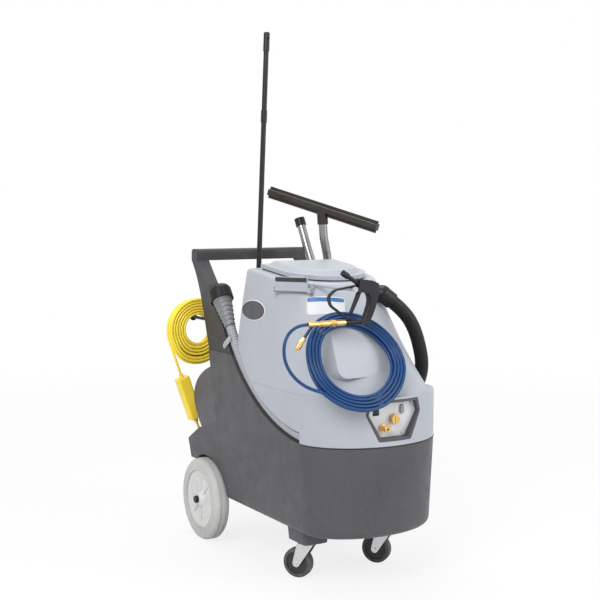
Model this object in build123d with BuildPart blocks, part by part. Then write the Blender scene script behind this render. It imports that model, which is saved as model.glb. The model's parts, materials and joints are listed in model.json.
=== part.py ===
"""Wheeled wet cleaning machine with a solution base, a recovery tank, hoses, a spray gun and tools.

Millimetres. +X points to the front, where the casters are, +Y to the machine's left and +Z up.
The origin is on the floor, under the middle of the machine's length and width.
"""
import math
import os

from build123d import *

# Overall body
rear_overhang = 156          # rear axle to the tail of the base
front_overhang = 884         # rear axle to the nose of the base
half_width = 250             # base and tank, from the middle to one side
bow_length = 182             # depth of the rounded nose, seen from above
base_bottom = 180            # floor to the underside of the base
rim_height = 481             # floor to the top of the base's front wall
wall_draft = 10              # how far the walls draw in towards the bottom
floor_wall = 8               # thickness of the base's floor and outer walls
seat_gap = 0.3               # clearance between moulded pieces that sit on each other
axle_x = (rear_overhang - front_overhang) / 2


def ahead(distance):
    """X of a point that lies so far in front of the rear axle."""
    return axle_x + distance


# Groove between base and tank, an arc about one centre, where the drain hose lies
arc_x = ahead(740)           # centre of the groove's arcs
rim_radius = 690             # groove floor, which is the base's upper edge
groove_width = 38            # from the groove floor to the tank's lower edge
groove_depth = 45            # how far the groove reaches in from the side
arc_z = rim_height + rim_radius
tank_radius = rim_radius - groove_width
groove_inner = half_width - groove_depth
step_x = ahead(700)          # wall of the tank that ends the groove

# Base: tail, rear deck and side wings that carry the handle
tail_height = 356
deck_rear = (ahead(-57), 412)
deck_front = (ahead(95), 461)
wing_top = 720
wing_rear = ahead(35)
bay_half_width = 190         # clear width between the wings
tray_height = 640            # ledge that the tool tray rests on
tray_ledge = 8
bulkhead_x = ahead(250)      # rear wall of the solution compartment
bulkhead_wall = 12
tub_shoulder = 440           # where the side walls thicken under the groove
cavity_rear = ahead(-44)     # motor compartment, under the rear cover
tail_hollow = (ahead(-100), 340)         # rear end and top of the hollow tail
wing_hollow = (ahead(110), 335, 628)     # rear end, bottom and top of the hollow wings

# Rear wheels and axle
wheel_radius = 152.5
tyre_width = 58
rim_disc_radius = 108
wheel_y = 249                # middle of the tyre
axle_radius = 8
axle_fit = 0.05              # radial clearance of a shaft in its bore
bush_radius = 16
hub_length = 68
cap_radius = 14
cap_length = 11
well_clearance = 11
well_inner = 212             # inner wall of the wheel wells
axle_block_length = 46
axle_block_height = 22       # below and beside the axle

# Swivel casters
caster_x = ahead(602)
caster_y = 159
caster_radius = 51
caster_width = 32
caster_trail = 35
caster_angle = 35            # the casters stand turned by so much
caster_height = 130
caster_plate = (92, 70, 4)
pad_size = (116, 92)
fork_wall = 3
kingpin_radius = 9
caster_axle_radius = 5

# Recovery tank
tank_rear = ahead(232)
tank_wall = 6
tank_base = rim_height + 2
shoulder_height = 640        # where the upright front gives way to the slope
slope_height = 930
crown_height = 1045          # above the sloping top, which trims it
top_rear = 1030              # top of the tank at its rear edge
top_slope = 6.43             # degrees down towards the front
shoulder_bow = (ahead(660), 205, 247)    # centre, length and half width of each rounded section
slope_bow = (ahead(440), 200, 206)
crown_bow = (ahead(418), 150, 186)

# Hanger for the coiled hose, on the tank's front
hanger_y = -60
hanger_half_width = 104
hanger_top = 860
hanger_front = ahead(742)
hanger_foot = (ahead(806), 700)

# Lid, on the sloping top; distances along the top start at the tank's rear edge
lid_rear = 40
lid_bow = (190, 148, 158)
lid_rim = 14
lid_crown = 30
lid_wall = 4
gasket_height = 4
gasket_width = 16
opening_inset = 26
hinge_distance = 26
hinge_height = 15
hinge_pin_radius = 3
hinge_lug_span = (62, 76)
lid_angle_latch = 59.6       # direction of the latch, round the lid's bow

# Control panel
panel_face = ahead(852)
panel_bottom = 500
panel_top = 633
panel_waist = 588
panel_half_widths = (62, 106, 94)        # bottom, waist and top
pocket_rear = ahead(815)
bezel_wall = 9
plate_thickness = 6
switch_y, switch_z = -57, 598
switch_size = (24, 32)
button_y, button_z = 42, 596
button_size = (14, 30)
knob_y, knob_z = 10, 566
knob_radius = 16
outlet_y, outlet_z = -31, 540
outlet_bore = 4

# Spray gun, standing in a plane across the machine
gun_x = ahead(802)
gun_shift = (-30, 7)         # across and up, from the places that its outline is drawn at
gun_thickness = 26
gun_coupler_length = 138
gun_inlet_z = 873

# Tools in the bay behind the tank
tube_radius = 16
tube_wall = 1.6
socket_wall = 4
socket_height = 44
wand_foot = (ahead(198), 166)
upper_tube_foot = (ahead(120), 157)
pole_foot = (ahead(100), -88)
pole_radius = 9.5
pole_lean = 2.4
tool_floor = 652
pole_top = 1884
squeegee_length = 457
squeegee_turn = 35           # the head stands turned across the machine, and tilts down to the front
squeegee_tilt = 16.7

# Hoses and cords
drain_hose_radius = 17.5
drain_hose_bore = 14
drain_rib_count = 58
drain_y = half_width - groove_depth / 2
drain_hose_angles = (7.2, 55)            # where the hose's straight ends begin
drain_end_length = 35
cuff_length = 122
cuff_mouth_radius = 40
cuff_wall = 3
drain_cap_radius = 43
drain_cap_height = 60
cradle_gap = 3               # between the hose's mouth and the upright that it lies in
blue_hose_diameter = 10.5
power_cord_diameter = 9.5
vac_hose_diameter = 48

os.makedirs("parts", exist_ok=True)


def save(piece, name):
    """Label a finished piece and write it under its own name."""
    piece.part.label = name
    export_step(piece.part, f"parts/{name}.step")


def bow_face(bow, rear):
    """Sketch a plan with straight sides and a half-elliptical nose."""
    centre, length, width = bow
    with Locations((centre, 0)):
        Ellipse(length, width)
    with Locations(((centre + rear) / 2, 0)):
        Rectangle(centre - rear, 2 * width)


def shrunk(bow, inset):
    """The same rounded plan, drawn in by a wall thickness."""
    return (bow[0], bow[1] - inset, bow[2] - inset)


def rim_point(radius, angle):
    """Point of the groove's arcs, by its angle from straight down."""
    turn = math.radians(angle)
    return (arc_x - radius * math.sin(turn), arc_z - radius * math.cos(turn))


def arc_angle_at(radius, height):
    """Angle at which an arc of the groove reaches a height."""
    return math.degrees(math.acos((arc_z - height) / radius))


def arc_angle_ahead(radius, x):
    """Angle at which an arc of the groove reaches a distance along the machine."""
    return math.degrees(math.asin((arc_x - x) / radius))


def rim_arc(radius, start, end):
    """Arc of the groove between two angles."""
    ThreePointArc(
        rim_point(radius, start), rim_point(radius, (start + end) / 2), rim_point(radius, end)
    )


nose_bow = (ahead(front_overhang - bow_length), bow_length, half_width)
foot_bow = (nose_bow[0], bow_length - 25, half_width - wall_draft)
tail_x = ahead(-rear_overhang)
well_radius = wheel_radius + well_clearance

with BuildPart() as base_tub:
    # Drafted walls with a rounded nose, then the upright band that becomes the wings
    with BuildSketch(Plane.XY.offset(base_bottom)):
        bow_face(foot_bow, tail_x - 20)
    with BuildSketch(Plane.XY.offset(rim_height)):
        bow_face(nose_bow, tail_x - 20)
    loft(ruled=True)
    fillet(base_tub.edges().group_by(Axis.Z)[0], radius=26)
    with BuildSketch(Plane.XY.offset(rim_height)):
        bow_face(nose_bow, tail_x - 20)
    extrude(amount=wing_top - rim_height)
    # Side outline: tail, rear deck, wings and the arc that the tank rests on
    seat_radius = tank_radius + seat_gap
    seat_start = arc_angle_ahead(seat_radius, step_x - seat_gap)
    seat_end = arc_angle_at(seat_radius, wing_top)
    with BuildSketch(Plane.XZ):
        with BuildLine():
            rim_arc(seat_radius, seat_start, seat_end)
            Polyline(
                rim_point(seat_radius, seat_end),
                (wing_rear, wing_top),
                deck_front,
                deck_rear,
                (tail_x, tail_height),
                (tail_x + 52, base_bottom - 1),
                (ahead(front_overhang + 20), base_bottom - 1),
                (ahead(front_overhang + 20), tank_base - seat_gap),
                (step_x - seat_gap, tank_base - seat_gap),
                rim_point(seat_radius, seat_start),
            )
        make_face()
    extrude(amount=half_width + 20, both=True, mode=Mode.INTERSECT)
    # The drain hose's groove, along both sides
    groove_start = arc_angle_ahead(rim_radius, step_x)
    groove_end = arc_angle_at(rim_radius, wing_top) + 3
    inner_radius = tank_radius - 20
    for side in (-1, 1):
        with BuildSketch(Plane.XZ.offset(-side * (groove_inner + half_width + 20) / 2)):
            with BuildLine():
                rim_arc(rim_radius, groove_start, groove_end)
                Line(rim_point(rim_radius, groove_end), rim_point(inner_radius, groove_end))
                rim_arc(inner_radius, groove_end, arc_angle_ahead(inner_radius, step_x))
                Line((step_x, rim_point(inner_radius, arc_angle_ahead(inner_radius, step_x))[1]),
                     rim_point(rim_radius, groove_start))
            make_face()
        extrude(amount=(half_width + 20 - groove_inner) / 2, both=True, mode=Mode.SUBTRACT)
        # Wheel well, open behind the wheel
        with Locations((axle_x, side * (well_inner + 40), wheel_radius)):
            Cylinder(well_radius, 80, rotation=(90, 0, 0), mode=Mode.SUBTRACT)
        with Locations((axle_x - well_radius, side * (well_inner + 40), 285 - 100)):
            Box(2 * well_radius, 80, 200, mode=Mode.SUBTRACT)
        # Block under the floor that holds the axle
        with Locations((axle_x, side * (well_inner - 4 - axle_block_length / 2), base_bottom)):
            Box(5 * axle_radius, axle_block_length, 2 * (base_bottom - wheel_radius + axle_block_height),
                align=(Align.CENTER, Align.CENTER, Align.CENTER))
        # Pad for the caster
        with BuildSketch(Plane.XY.offset(caster_height)):
            with Locations((caster_x, side * caster_y)):
                RectangleRounded(*pad_size, 14)
        extrude(amount=base_bottom - caster_height + 4, taper=-6)
    # Motor compartment behind the bulkhead
    with Locations((cavity_rear, 0, base_bottom + floor_wall)):
        Box(bulkhead_x - bulkhead_wall - cavity_rear, 2 * (bay_half_width - tray_ledge), wing_top,
            align=(Align.MIN, Align.CENTER, Align.MIN), mode=Mode.SUBTRACT)
    with Locations((cavity_rear, 0, tray_height)):
        Box(bulkhead_x - cavity_rear, 2 * bay_half_width, wing_top,
            align=(Align.MIN, Align.CENTER, Align.MIN), mode=Mode.SUBTRACT)
    # Solution compartment, wide below and narrower between the groove's walls
    with BuildSketch(Plane.XY.offset(base_bottom + floor_wall)):
        bow_face(shrunk(foot_bow, floor_wall), bulkhead_x)
    extrude(amount=tub_shoulder - base_bottom - floor_wall, mode=Mode.SUBTRACT)
    with BuildSketch(Plane.XY.offset(tub_shoulder - 1)):
        bow_face((nose_bow[0], bow_length - 40, bay_half_width), bulkhead_x)
    extrude(amount=wing_top - tub_shoulder + 2, mode=Mode.SUBTRACT)
    # The solution compartment widens under the groove, out to the side walls
    hollow_radius = rim_radius + floor_wall + 2
    hollow_start = arc_angle_ahead(hollow_radius, step_x - 60)
    hollow_end = arc_angle_ahead(hollow_radius, bulkhead_x)
    with BuildSketch(Plane.XZ):
        with BuildLine():
            rim_arc(hollow_radius, hollow_start, hollow_end)
            Polyline(
                rim_point(hollow_radius, hollow_end),
                (bulkhead_x, tub_shoulder - 10),
                (step_x - 60, tub_shoulder - 10),
                rim_point(hollow_radius, hollow_start),
            )
        make_face()
    extrude(amount=half_width - floor_wall, both=True, mode=Mode.SUBTRACT)
    # Hollow wings beside the motor compartment, and the hollow tail behind it
    with Locations((wing_hollow[0], 0, wing_hollow[1])):
        Box(bulkhead_x - bulkhead_wall - wing_hollow[0], 2 * (half_width - floor_wall),
            wing_hollow[2] - wing_hollow[1], align=(Align.MIN, Align.CENTER, Align.MIN), mode=Mode.SUBTRACT)
    with Locations((tail_hollow[0], 0, base_bottom + floor_wall)):
        Box(cavity_rear + 1 - tail_hollow[0], 2 * (bay_half_width - tray_ledge),
            tail_hollow[1] - base_bottom - floor_wall,
            align=(Align.MIN, Align.CENTER, Align.MIN), mode=Mode.SUBTRACT)
    # Axle bore
    with Locations((axle_x, 0, wheel_radius)):
        Cylinder(axle_radius + axle_fit, 2 * half_width, rotation=(90, 0, 0), mode=Mode.SUBTRACT)
save(base_tub, "base_tub")

drain_arc_radius = (rim_radius + tank_radius) / 2


def drain_plane(angle, along):
    """Plane across the drain hose, so far along the straight that leaves its arc at an angle."""
    x, z = rim_point(drain_arc_radius, angle)
    turn = math.radians(angle)
    return Plane(
        origin=(x - along * math.cos(turn), -drain_y, z + along * math.sin(turn)),
        x_dir=(0, 1, 0),
        z_dir=(-math.cos(turn), 0, math.sin(turn)),
    )


cuff_plane = drain_plane(drain_hose_angles[1], drain_end_length)
outlet_plane = drain_plane(drain_hose_angles[0], -drain_end_length)
drain_outlet_z = outlet_plane.origin.Z - 1
drain_outlet_radius = drain_hose_bore - 0.4

# Push handle: two leaning uprights that stand on the wings, joined by a crossbar
bar_rear = ahead(-112)
bar_front = ahead(-66)
bar_bottom = 1044
bar_top = 1087
upright_inner = bay_half_width + 6
with BuildPart() as push_handle:
    foot_angle = arc_angle_at(rim_radius, wing_top + seat_gap)
    crest_angle = arc_angle_at(rim_radius, 828)
    for side in (-1, 1):
        with BuildSketch(Plane.XZ.offset(-side * (upright_inner + half_width - 3) / 2)):
            with BuildLine():
                rim_arc(rim_radius + seat_gap, foot_angle, crest_angle)
                Spline(
                    rim_point(rim_radius + seat_gap, crest_angle),
                    (ahead(66), 905),
                    (ahead(-12), 985),
                    (bar_front, bar_bottom),
                )
                Line((bar_front, bar_bottom), (bar_front, bar_top))
                Line((bar_front, bar_top), (bar_rear, bar_top))
                Line((bar_rear, bar_top), (bar_rear, bar_bottom))
                Spline(
                    (bar_rear, bar_bottom),
                    (ahead(-58), 965),
                    (ahead(-8), 845),
                    (wing_rear, wing_top + seat_gap),
                )
                Line((wing_rear, wing_top + seat_gap), rim_point(rim_radius + seat_gap, foot_angle))
            make_face()
        extrude(amount=(half_width - 3 - upright_inner) / 2, both=True)
    with Locations(((bar_rear + bar_front) / 2, 0, (bar_bottom + bar_top) / 2)):
        Box(bar_front - bar_rear, 2 * (half_width - 3), bar_top - bar_bottom)
    fillet(push_handle.edges().filter_by(Axis.Y).group_by(Axis.Z)[-1], radius=15)
    # Cradle for the mouth of the drain hose, in the right upright
    with Locations(cuff_plane):
        Cone(drain_hose_radius + cradle_gap, drain_cap_radius + cradle_gap, cuff_length,
             align=(Align.CENTER, Align.CENTER, Align.MIN), mode=Mode.SUBTRACT)
    with Locations(cuff_plane.offset(cuff_length)):
        Cylinder(drain_cap_radius + cradle_gap, 2.5 * drain_cap_height,
                 align=(Align.CENTER, Align.CENTER, Align.MIN), mode=Mode.SUBTRACT)
save(push_handle, "push_handle")

# Rear cover: a rounded shell over the motors, standing on the rear deck
cover_crest = 662
cover_wall = 5
cover_front_x = deck_front[0] + (wing_rear - deck_front[0]) * (cover_crest - deck_front[1]) / (
    wing_top - deck_front[1]
)
with BuildPart() as rear_cover:
    with BuildSketch(Plane.XZ):
        with BuildLine():
            Spline(
                (cover_front_x - seat_gap, cover_crest),
                (ahead(-34), 633),
                (ahead(-92), 588),
                (ahead(-114), 540),
                (ahead(-99), 478),
                (deck_rear[0] + 6, deck_rear[1] + 2.5),
            )
            Polyline(
                (deck_rear[0] + 6, deck_rear[1] + 2.5),
                (deck_front[0] - seat_gap, deck_front[1] + 0.6),
                (cover_front_x - seat_gap, cover_crest),
            )
        make_face()
    extrude(amount=half_width - 4, both=True)
    fillet(rear_cover.edges().filter_by(lambda edge: edge.geom_type == GeomType.BSPLINE), radius=18)
    inner_faces = rear_cover.faces().filter_by(GeomType.PLANE).filter_by(
        lambda face: abs(face.normal_at().Y) < 0.1
    )
    offset(amount=-cover_wall, openings=inner_faces)
save(rear_cover, "rear_cover")

# Sloping top of the tank, with its own frame: x forward from the rear edge, z out of the top
slope = math.radians(top_slope)
top_plane = Plane(
    origin=(tank_rear, 0, top_rear),
    x_dir=(math.cos(slope), 0, -math.sin(slope)),
    z_dir=(math.sin(slope), 0, math.cos(slope)),
)


def tank_form(inset):
    """Outer form of the tank, or its inside when it is drawn in by the wall."""
    with BuildSketch(Plane.XY.offset(tank_base + inset)) as foot_plan:
        bow_face(shrunk(nose_bow, inset), tank_rear)
        if inset:
            with Locations((pocket_rear - 2 * inset, 0)):
                Rectangle(bow_length, 2 * half_width, align=(Align.MIN, Align.CENTER), mode=Mode.SUBTRACT)
    extrude(foot_plan.sketch, amount=shoulder_height - tank_base - 2 * inset)
    sections = []
    for height, bow in (
        (shoulder_height - 1 - inset, shoulder_bow),
        (slope_height, slope_bow),
        (crown_height, crown_bow),
    ):
        with BuildSketch(Plane.XY.offset(height)) as section:
            bow_face(shrunk(bow, inset), tank_rear)
        sections.append(section.sketch)
    loft(sections)
    radius = tank_radius - inset
    foot = arc_angle_ahead(radius, step_x + inset)
    rear = arc_angle_ahead(radius, tank_rear + inset)
    far = ahead(front_overhang + 30)
    drop = inset / math.cos(slope)
    with BuildSketch(Plane.XZ) as side_view:
        with BuildLine():
            rim_arc(radius, foot, rear)
            Polyline(
                rim_point(radius, rear),
                (tank_rear + inset, top_rear - drop - inset * math.tan(slope)),
                (far, top_rear - drop - (far - tank_rear) * math.tan(slope)),
                (far, tank_base + inset),
                (step_x + inset, tank_base + inset),
                rim_point(radius, foot),
            )
        make_face()
    extrude(side_view.sketch, amount=half_width + 20, both=True, mode=Mode.INTERSECT)


with BuildPart() as tank_inside:
    tank_form(tank_wall)

# Direction in which the lid latch faces, and the place on the tank's side where it hinges
latch_turn = math.radians(lid_angle_latch)
latch_bow = (ahead(433), 184, 200)
latch_out = Vector(math.cos(latch_turn) / latch_bow[1], -math.sin(latch_turn) / latch_bow[2], 0).normalized()
latch_along = Vector(-latch_out.Y, latch_out.X, 0)
latch_plane = Plane(
    origin=(
        latch_bow[0] + latch_bow[1] * math.cos(latch_turn),
        -latch_bow[2] * math.sin(latch_turn),
        968,
    ),
    x_dir=latch_along,
    z_dir=latch_out,
)
latch_half_length = 62
latch_pin_radius = 2.5
latch_pin_out = 13
latch_lip_height = 43
latch_thickness = 5
latch_lug_root = 30
tongue_root, tongue_end = 58, 6          # of the lid's tongue, in from the latch's place

hanger_rise = Vector(hanger_front - hanger_foot[0], 0, hanger_top - hanger_foot[1]).normalized()
hanger_plane = Plane(
    origin=(hanger_front, hanger_y, hanger_top),
    x_dir=(0, 1, 0),
    z_dir=(hanger_rise.Z, 0, -hanger_rise.X),
)
hanger_length = math.hypot(hanger_foot[0] - hanger_front, hanger_top - hanger_foot[1])
peg_y, peg_z = -85 + gun_shift[0], 977.1 + gun_shift[1]
peg_root = ahead(500)
peg_radius = 6


def panel_outline(inset):
    """Six-sided outline of the control panel, looking at it from the front."""
    low, middle, high = (width - inset for width in panel_half_widths)
    bottom, waist, top = panel_bottom + inset, panel_waist, panel_top - inset
    Polygon(
        (-low, bottom), (low, bottom), (middle, waist), (high, top), (-high, top), (-middle, waist),
        align=None,
    )
    fillet(vertices(), radius=8)


with BuildPart() as recovery_tank:
    tank_form(0)
    fillet(recovery_tank.faces().sort_by(Axis.Z)[-1].edges(), radius=16)
    # Hanger: a raised pad whose upper edge carries the coiled hose
    with BuildSketch(hanger_plane):
        with Locations((0, -hanger_length / 2)):
            RectangleRounded(2 * hanger_half_width, hanger_length, 34)
    extrude(amount=-150)
    # Peg that the spray gun hangs on by its guard
    with Locations((peg_root, peg_y, peg_z)):
        Cylinder(peg_radius, gun_x + gun_thickness / 2 + 3 - peg_root, rotation=(0, 90, 0),
                 align=(Align.CENTER, Align.CENTER, Align.MIN))
    with Locations((gun_x + gun_thickness / 2 + 5, peg_y, peg_z)):
        Cylinder(peg_radius + 3, 4, rotation=(0, 90, 0))
    # Lugs of the lid's hinge, and of the latch
    for side in (-1, 1):
        with BuildSketch(top_plane.offset(-2)):
            with Locations((hinge_distance, side * sum(hinge_lug_span) / 2)):
                Rectangle(16, hinge_lug_span[1] - hinge_lug_span[0])
        extrude(amount=hinge_height + 2 + 7)
        with BuildSketch(latch_plane.offset(-latch_lug_root)):
            with Locations((side * (latch_half_length + 6), 0)):
                Rectangle(10, 16)
        extrude(amount=latch_lug_root + latch_pin_out + 7)
    with Locations(top_plane):
        with Locations((hinge_distance, 0, hinge_height)):
            Cylinder(hinge_pin_radius + axle_fit, 200, rotation=(90, 0, 0), mode=Mode.SUBTRACT)
    with Locations(latch_plane):
        with Locations((0, 0, latch_pin_out)):
            Cylinder(latch_pin_radius + axle_fit, 200, rotation=(0, 90, 0), mode=Mode.SUBTRACT)
    # Hollow inside, filling hole under the lid, and the pocket behind the control panel
    add(tank_inside.part, mode=Mode.SUBTRACT)
    with BuildSketch(top_plane.offset(20)):
        bow_face((lid_bow[0], lid_bow[1] - opening_inset, lid_bow[2] - opening_inset), lid_rear + opening_inset)
    extrude(amount=-40, mode=Mode.SUBTRACT)
    with BuildSketch(Plane.YZ.offset(pocket_rear)):
        panel_outline(0)
    extrude(amount=120, mode=Mode.SUBTRACT)
    # Outlet of the drain, through the wall that ends the groove
    with Locations((step_x, -drain_y, drain_outlet_z)):
        Cylinder(drain_outlet_radius + seat_gap, 40, rotation=(0, 90, 0), mode=Mode.SUBTRACT)
save(recovery_tank, "recovery_tank")

# Lid with its raised crown, a knuckle at the rear and a tongue under the latch
lid_base = gasket_height + 2 * seat_gap
with BuildPart() as tank_lid:
    with BuildSketch(top_plane.offset(lid_base)):
        bow_face(lid_bow, lid_rear)
    extrude(amount=lid_rim)
    with BuildSketch(top_plane.offset(lid_base + lid_rim)):
        bow_face(shrunk(lid_bow, 20), lid_rear + 20)
    with BuildSketch(top_plane.offset(lid_base + lid_crown)):
        bow_face(shrunk(lid_bow, 36), lid_rear + 36)
    loft(ruled=True)
    fillet(tank_lid.faces().sort_by(Axis((0, 0, 0), top_plane.z_dir))[-1].edges(), radius=8)
    with BuildSketch(latch_plane.offset(-tongue_root)):
        with Locations((0, latch_lip_height - 3.2)):
            Rectangle(50, 5)
    extrude(amount=tongue_root - tongue_end)
    split(bisect_by=top_plane.offset(lid_base), keep=Keep.TOP)
    # Hollow under the crown
    with BuildSketch(top_plane.offset(lid_base)):
        bow_face(shrunk(lid_bow, 40), lid_rear + 40)
    extrude(amount=lid_crown - lid_wall, mode=Mode.SUBTRACT)
    # Knuckle
    with BuildSketch(top_plane.offset(lid_base)):
        with Locations((hinge_distance, 0)):
            Rectangle(lid_rear - hinge_distance + 4, 2 * hinge_lug_span[0] - 2,
                      align=(Align.MIN, Align.CENTER))
    extrude(amount=lid_rim)
    with Locations(top_plane):
        with Locations((hinge_distance, 0, hinge_height)):
            Cylinder(hinge_pin_radius + 4, 2 * hinge_lug_span[0] - 2, rotation=(90, 0, 0))
            Cylinder(hinge_pin_radius + axle_fit, 200, rotation=(90, 0, 0), mode=Mode.SUBTRACT)
save(tank_lid, "tank_lid")

with BuildPart() as lid_gasket:
    with BuildSketch(top_plane.offset(seat_gap)):
        bow_face(shrunk(lid_bow, 4), lid_rear + 4)
        bow_inner = shrunk(lid_bow, 4 + gasket_width)
        with Locations((bow_inner[0], 0)):
            Ellipse(bow_inner[1], bow_inner[2], mode=Mode.SUBTRACT)
        with Locations(((bow_inner[0] + lid_rear + 4 + gasket_width) / 2, 0)):
            Rectangle(bow_inner[0] - lid_rear - 4 - gasket_width, 2 * bow_inner[2], mode=Mode.SUBTRACT)
    extrude(amount=gasket_height)
save(lid_gasket, "lid_gasket")

with BuildPart() as lid_hinge_pin:
    with Locations(top_plane):
        with Locations((hinge_distance, 0, hinge_height)):
            Cylinder(hinge_pin_radius, 2 * hinge_lug_span[1] + 4, rotation=(90, 0, 0))
save(lid_hinge_pin, "lid_hinge_pin")

# Latch: a flap that swings out from its pin and hooks over the lid's tongue
with BuildPart() as lid_latch:
    with BuildSketch(latch_plane.offset(latch_pin_out - latch_thickness / 2)):
        with Locations((0, latch_lip_height / 2)):
            Rectangle(2 * latch_half_length, latch_lip_height)
    extrude(amount=latch_thickness)
    with BuildSketch(latch_plane.offset(-tongue_end + 0.5)):
        with Locations((0, latch_lip_height - 8)):
            Rectangle(2 * latch_half_length - 40, 8, align=(Align.CENTER, Align.MIN))
    extrude(amount=tongue_end - 0.5 + latch_pin_out + latch_thickness / 2)
    with Locations(latch_plane):
        with Locations((0, 0, latch_pin_out)):
            Cylinder(latch_pin_radius + 3, 2 * latch_half_length, rotation=(0, 90, 0))
            Cylinder(latch_pin_radius, 2 * latch_half_length + 22, rotation=(0, 90, 0))
save(lid_latch, "lid_latch")

# Tray behind the tank, with three sockets for the tools
tray_rear = ahead(62)
socket_fit = 0.4
pole_turn = math.radians(pole_lean)
wand_plane = Plane(origin=(*wand_foot, tool_floor))
upper_tube_plane = Plane(origin=(*upper_tube_foot, tool_floor))
pole_plane = Plane(
    origin=(*pole_foot, tool_floor), x_dir=(1, 0, 0), z_dir=(0, math.sin(pole_turn), math.cos(pole_turn))
)
tool_sockets = ((wand_plane, tube_radius), (upper_tube_plane, tube_radius), (pole_plane, pole_radius))
with BuildPart() as tool_tray:
    with Locations((tray_rear, 0, tray_height + seat_gap)):
        Box(bulkhead_x - seat_gap - tray_rear, 2 * (bay_half_width - seat_gap),
            tool_floor - tray_height - seat_gap, align=(Align.MIN, Align.CENTER, Align.MIN))
    for plane, radius in tool_sockets:
        with BuildSketch(plane.offset(-3)):
            Circle(radius + socket_fit + socket_wall)
        extrude(amount=socket_height + 3)
    for plane, radius in tool_sockets:
        with BuildSketch(plane):
            Circle(radius + socket_fit)
        extrude(amount=socket_height, mode=Mode.SUBTRACT)
save(tool_tray, "tool_tray")

# Control panel: a deep bezel whose front follows the nose, and a plate set back in it
plate_rear = panel_face - plate_thickness
with BuildPart() as panel_bezel:
    with BuildSketch(Plane.YZ.offset(pocket_rear + seat_gap)):
        panel_outline(seat_gap)
    extrude(amount=front_overhang)
    with BuildSketch(Plane.XY.offset(panel_bottom)):
        bow_face(nose_bow, tank_rear)
    extrude(amount=panel_top - panel_bottom, mode=Mode.INTERSECT)
    with BuildSketch(Plane.YZ.offset(plate_rear - seat_gap)):
        panel_outline(bezel_wall)
    extrude(amount=front_overhang, mode=Mode.SUBTRACT)
    with BuildSketch(Plane.YZ.offset(pocket_rear)):
        panel_outline(bezel_wall + 6)
    extrude(amount=front_overhang, mode=Mode.SUBTRACT)
save(panel_bezel, "panel_bezel")

# Rocker switch: its ends lie on a cylinder about its pivot, so it tips inside its opening
rocker_radius = switch_size[1] / 2 + 1
rocker_pivot = plate_rear - 4
trunnion_radius = 2
trunnion_length = 4
button_flange = 2
knob_stem_radius = 3
outlet_tail_radius = 8
with BuildPart() as panel_plate:
    with BuildSketch(Plane.YZ.offset(plate_rear)):
        panel_outline(bezel_wall + seat_gap)
        with Locations((switch_y, switch_z)):
            Rectangle(switch_size[0] + 0.8, 2 * rocker_radius + 0.8, mode=Mode.SUBTRACT)
        with Locations((button_y, button_z)):
            SlotOverall(button_size[1] + 0.6, button_size[0] + 0.6, rotation=90, mode=Mode.SUBTRACT)
        with Locations((knob_y, knob_z)):
            Circle(knob_stem_radius + axle_fit, mode=Mode.SUBTRACT)
        with Locations((outlet_y, outlet_z)):
            Circle(outlet_tail_radius + seat_gap, mode=Mode.SUBTRACT)
    extrude(amount=plate_thickness)
    # Ears behind the plate that carry the switch's pivot
    for side in (-1, 1):
        with Locations((plate_rear, switch_y + side * (switch_size[0] / 2 + 0.4), switch_z)):
            Box(9, trunnion_length, 10,
                align=(Align.MAX, Align.MIN if side > 0 else Align.MAX, Align.CENTER))
    with Locations((rocker_pivot, switch_y, switch_z)):
        Cylinder(trunnion_radius + axle_fit, 2 * switch_size[0], rotation=(90, 0, 0), mode=Mode.SUBTRACT)
save(panel_plate, "panel_plate")

with BuildPart() as power_switch:
    with BuildSketch(Plane.XZ.offset(-switch_y)):
        with Locations((rocker_pivot, switch_z)):
            Circle(rocker_radius)
            Polygon(
                (-5, -20), (13, -20), (10, 0), (13, 20), (-5, 20), align=None, mode=Mode.INTERSECT
            )
    extrude(amount=switch_size[0] / 2, both=True)
    with Locations((rocker_pivot, switch_y, switch_z)):
        Cylinder(trunnion_radius, switch_size[0] + 2 * trunnion_length, rotation=(90, 0, 0))
save(power_switch, "power_switch")

with BuildPart() as breaker_button:
    with BuildSketch(Plane.YZ.offset(plate_rear - seat_gap)):
        with Locations((button_y, button_z)):
            SlotOverall(button_size[1], button_size[0], rotation=90)
    extrude(amount=plate_thickness + 7)
    fillet(breaker_button.faces().sort_by(Axis.X)[-1].edges(), radius=2)
    with BuildSketch(Plane.YZ.offset(plate_rear - seat_gap)):
        with Locations((button_y, button_z)):
            SlotOverall(button_size[1] + 2 * button_flange, button_size[0] + 2 * button_flange, rotation=90)
    extrude(amount=-4)
save(breaker_button, "breaker_button")

with BuildPart() as regulator_knob:
    with BuildSketch(Plane.YZ.offset(panel_face + 1)):
        with Locations((knob_y, knob_z)):
            Circle(knob_radius)
            with PolarLocations(knob_radius + 1.5, 10):
                Circle(3, mode=Mode.SUBTRACT)
    extrude(amount=16)
    fillet(regulator_knob.faces().sort_by(Axis.X)[-1].edges(), radius=1)
    with Locations((panel_face + 17, knob_y, knob_z)):
        Box(4, 4, 1.5 * knob_radius)
    with Locations((plate_rear - 10, knob_y, knob_z)):
        Cylinder(knob_stem_radius, plate_thickness + 12, rotation=(0, 90, 0),
                 align=(Align.CENTER, Align.CENTER, Align.MIN))
save(regulator_knob, "regulator_knob")

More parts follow.
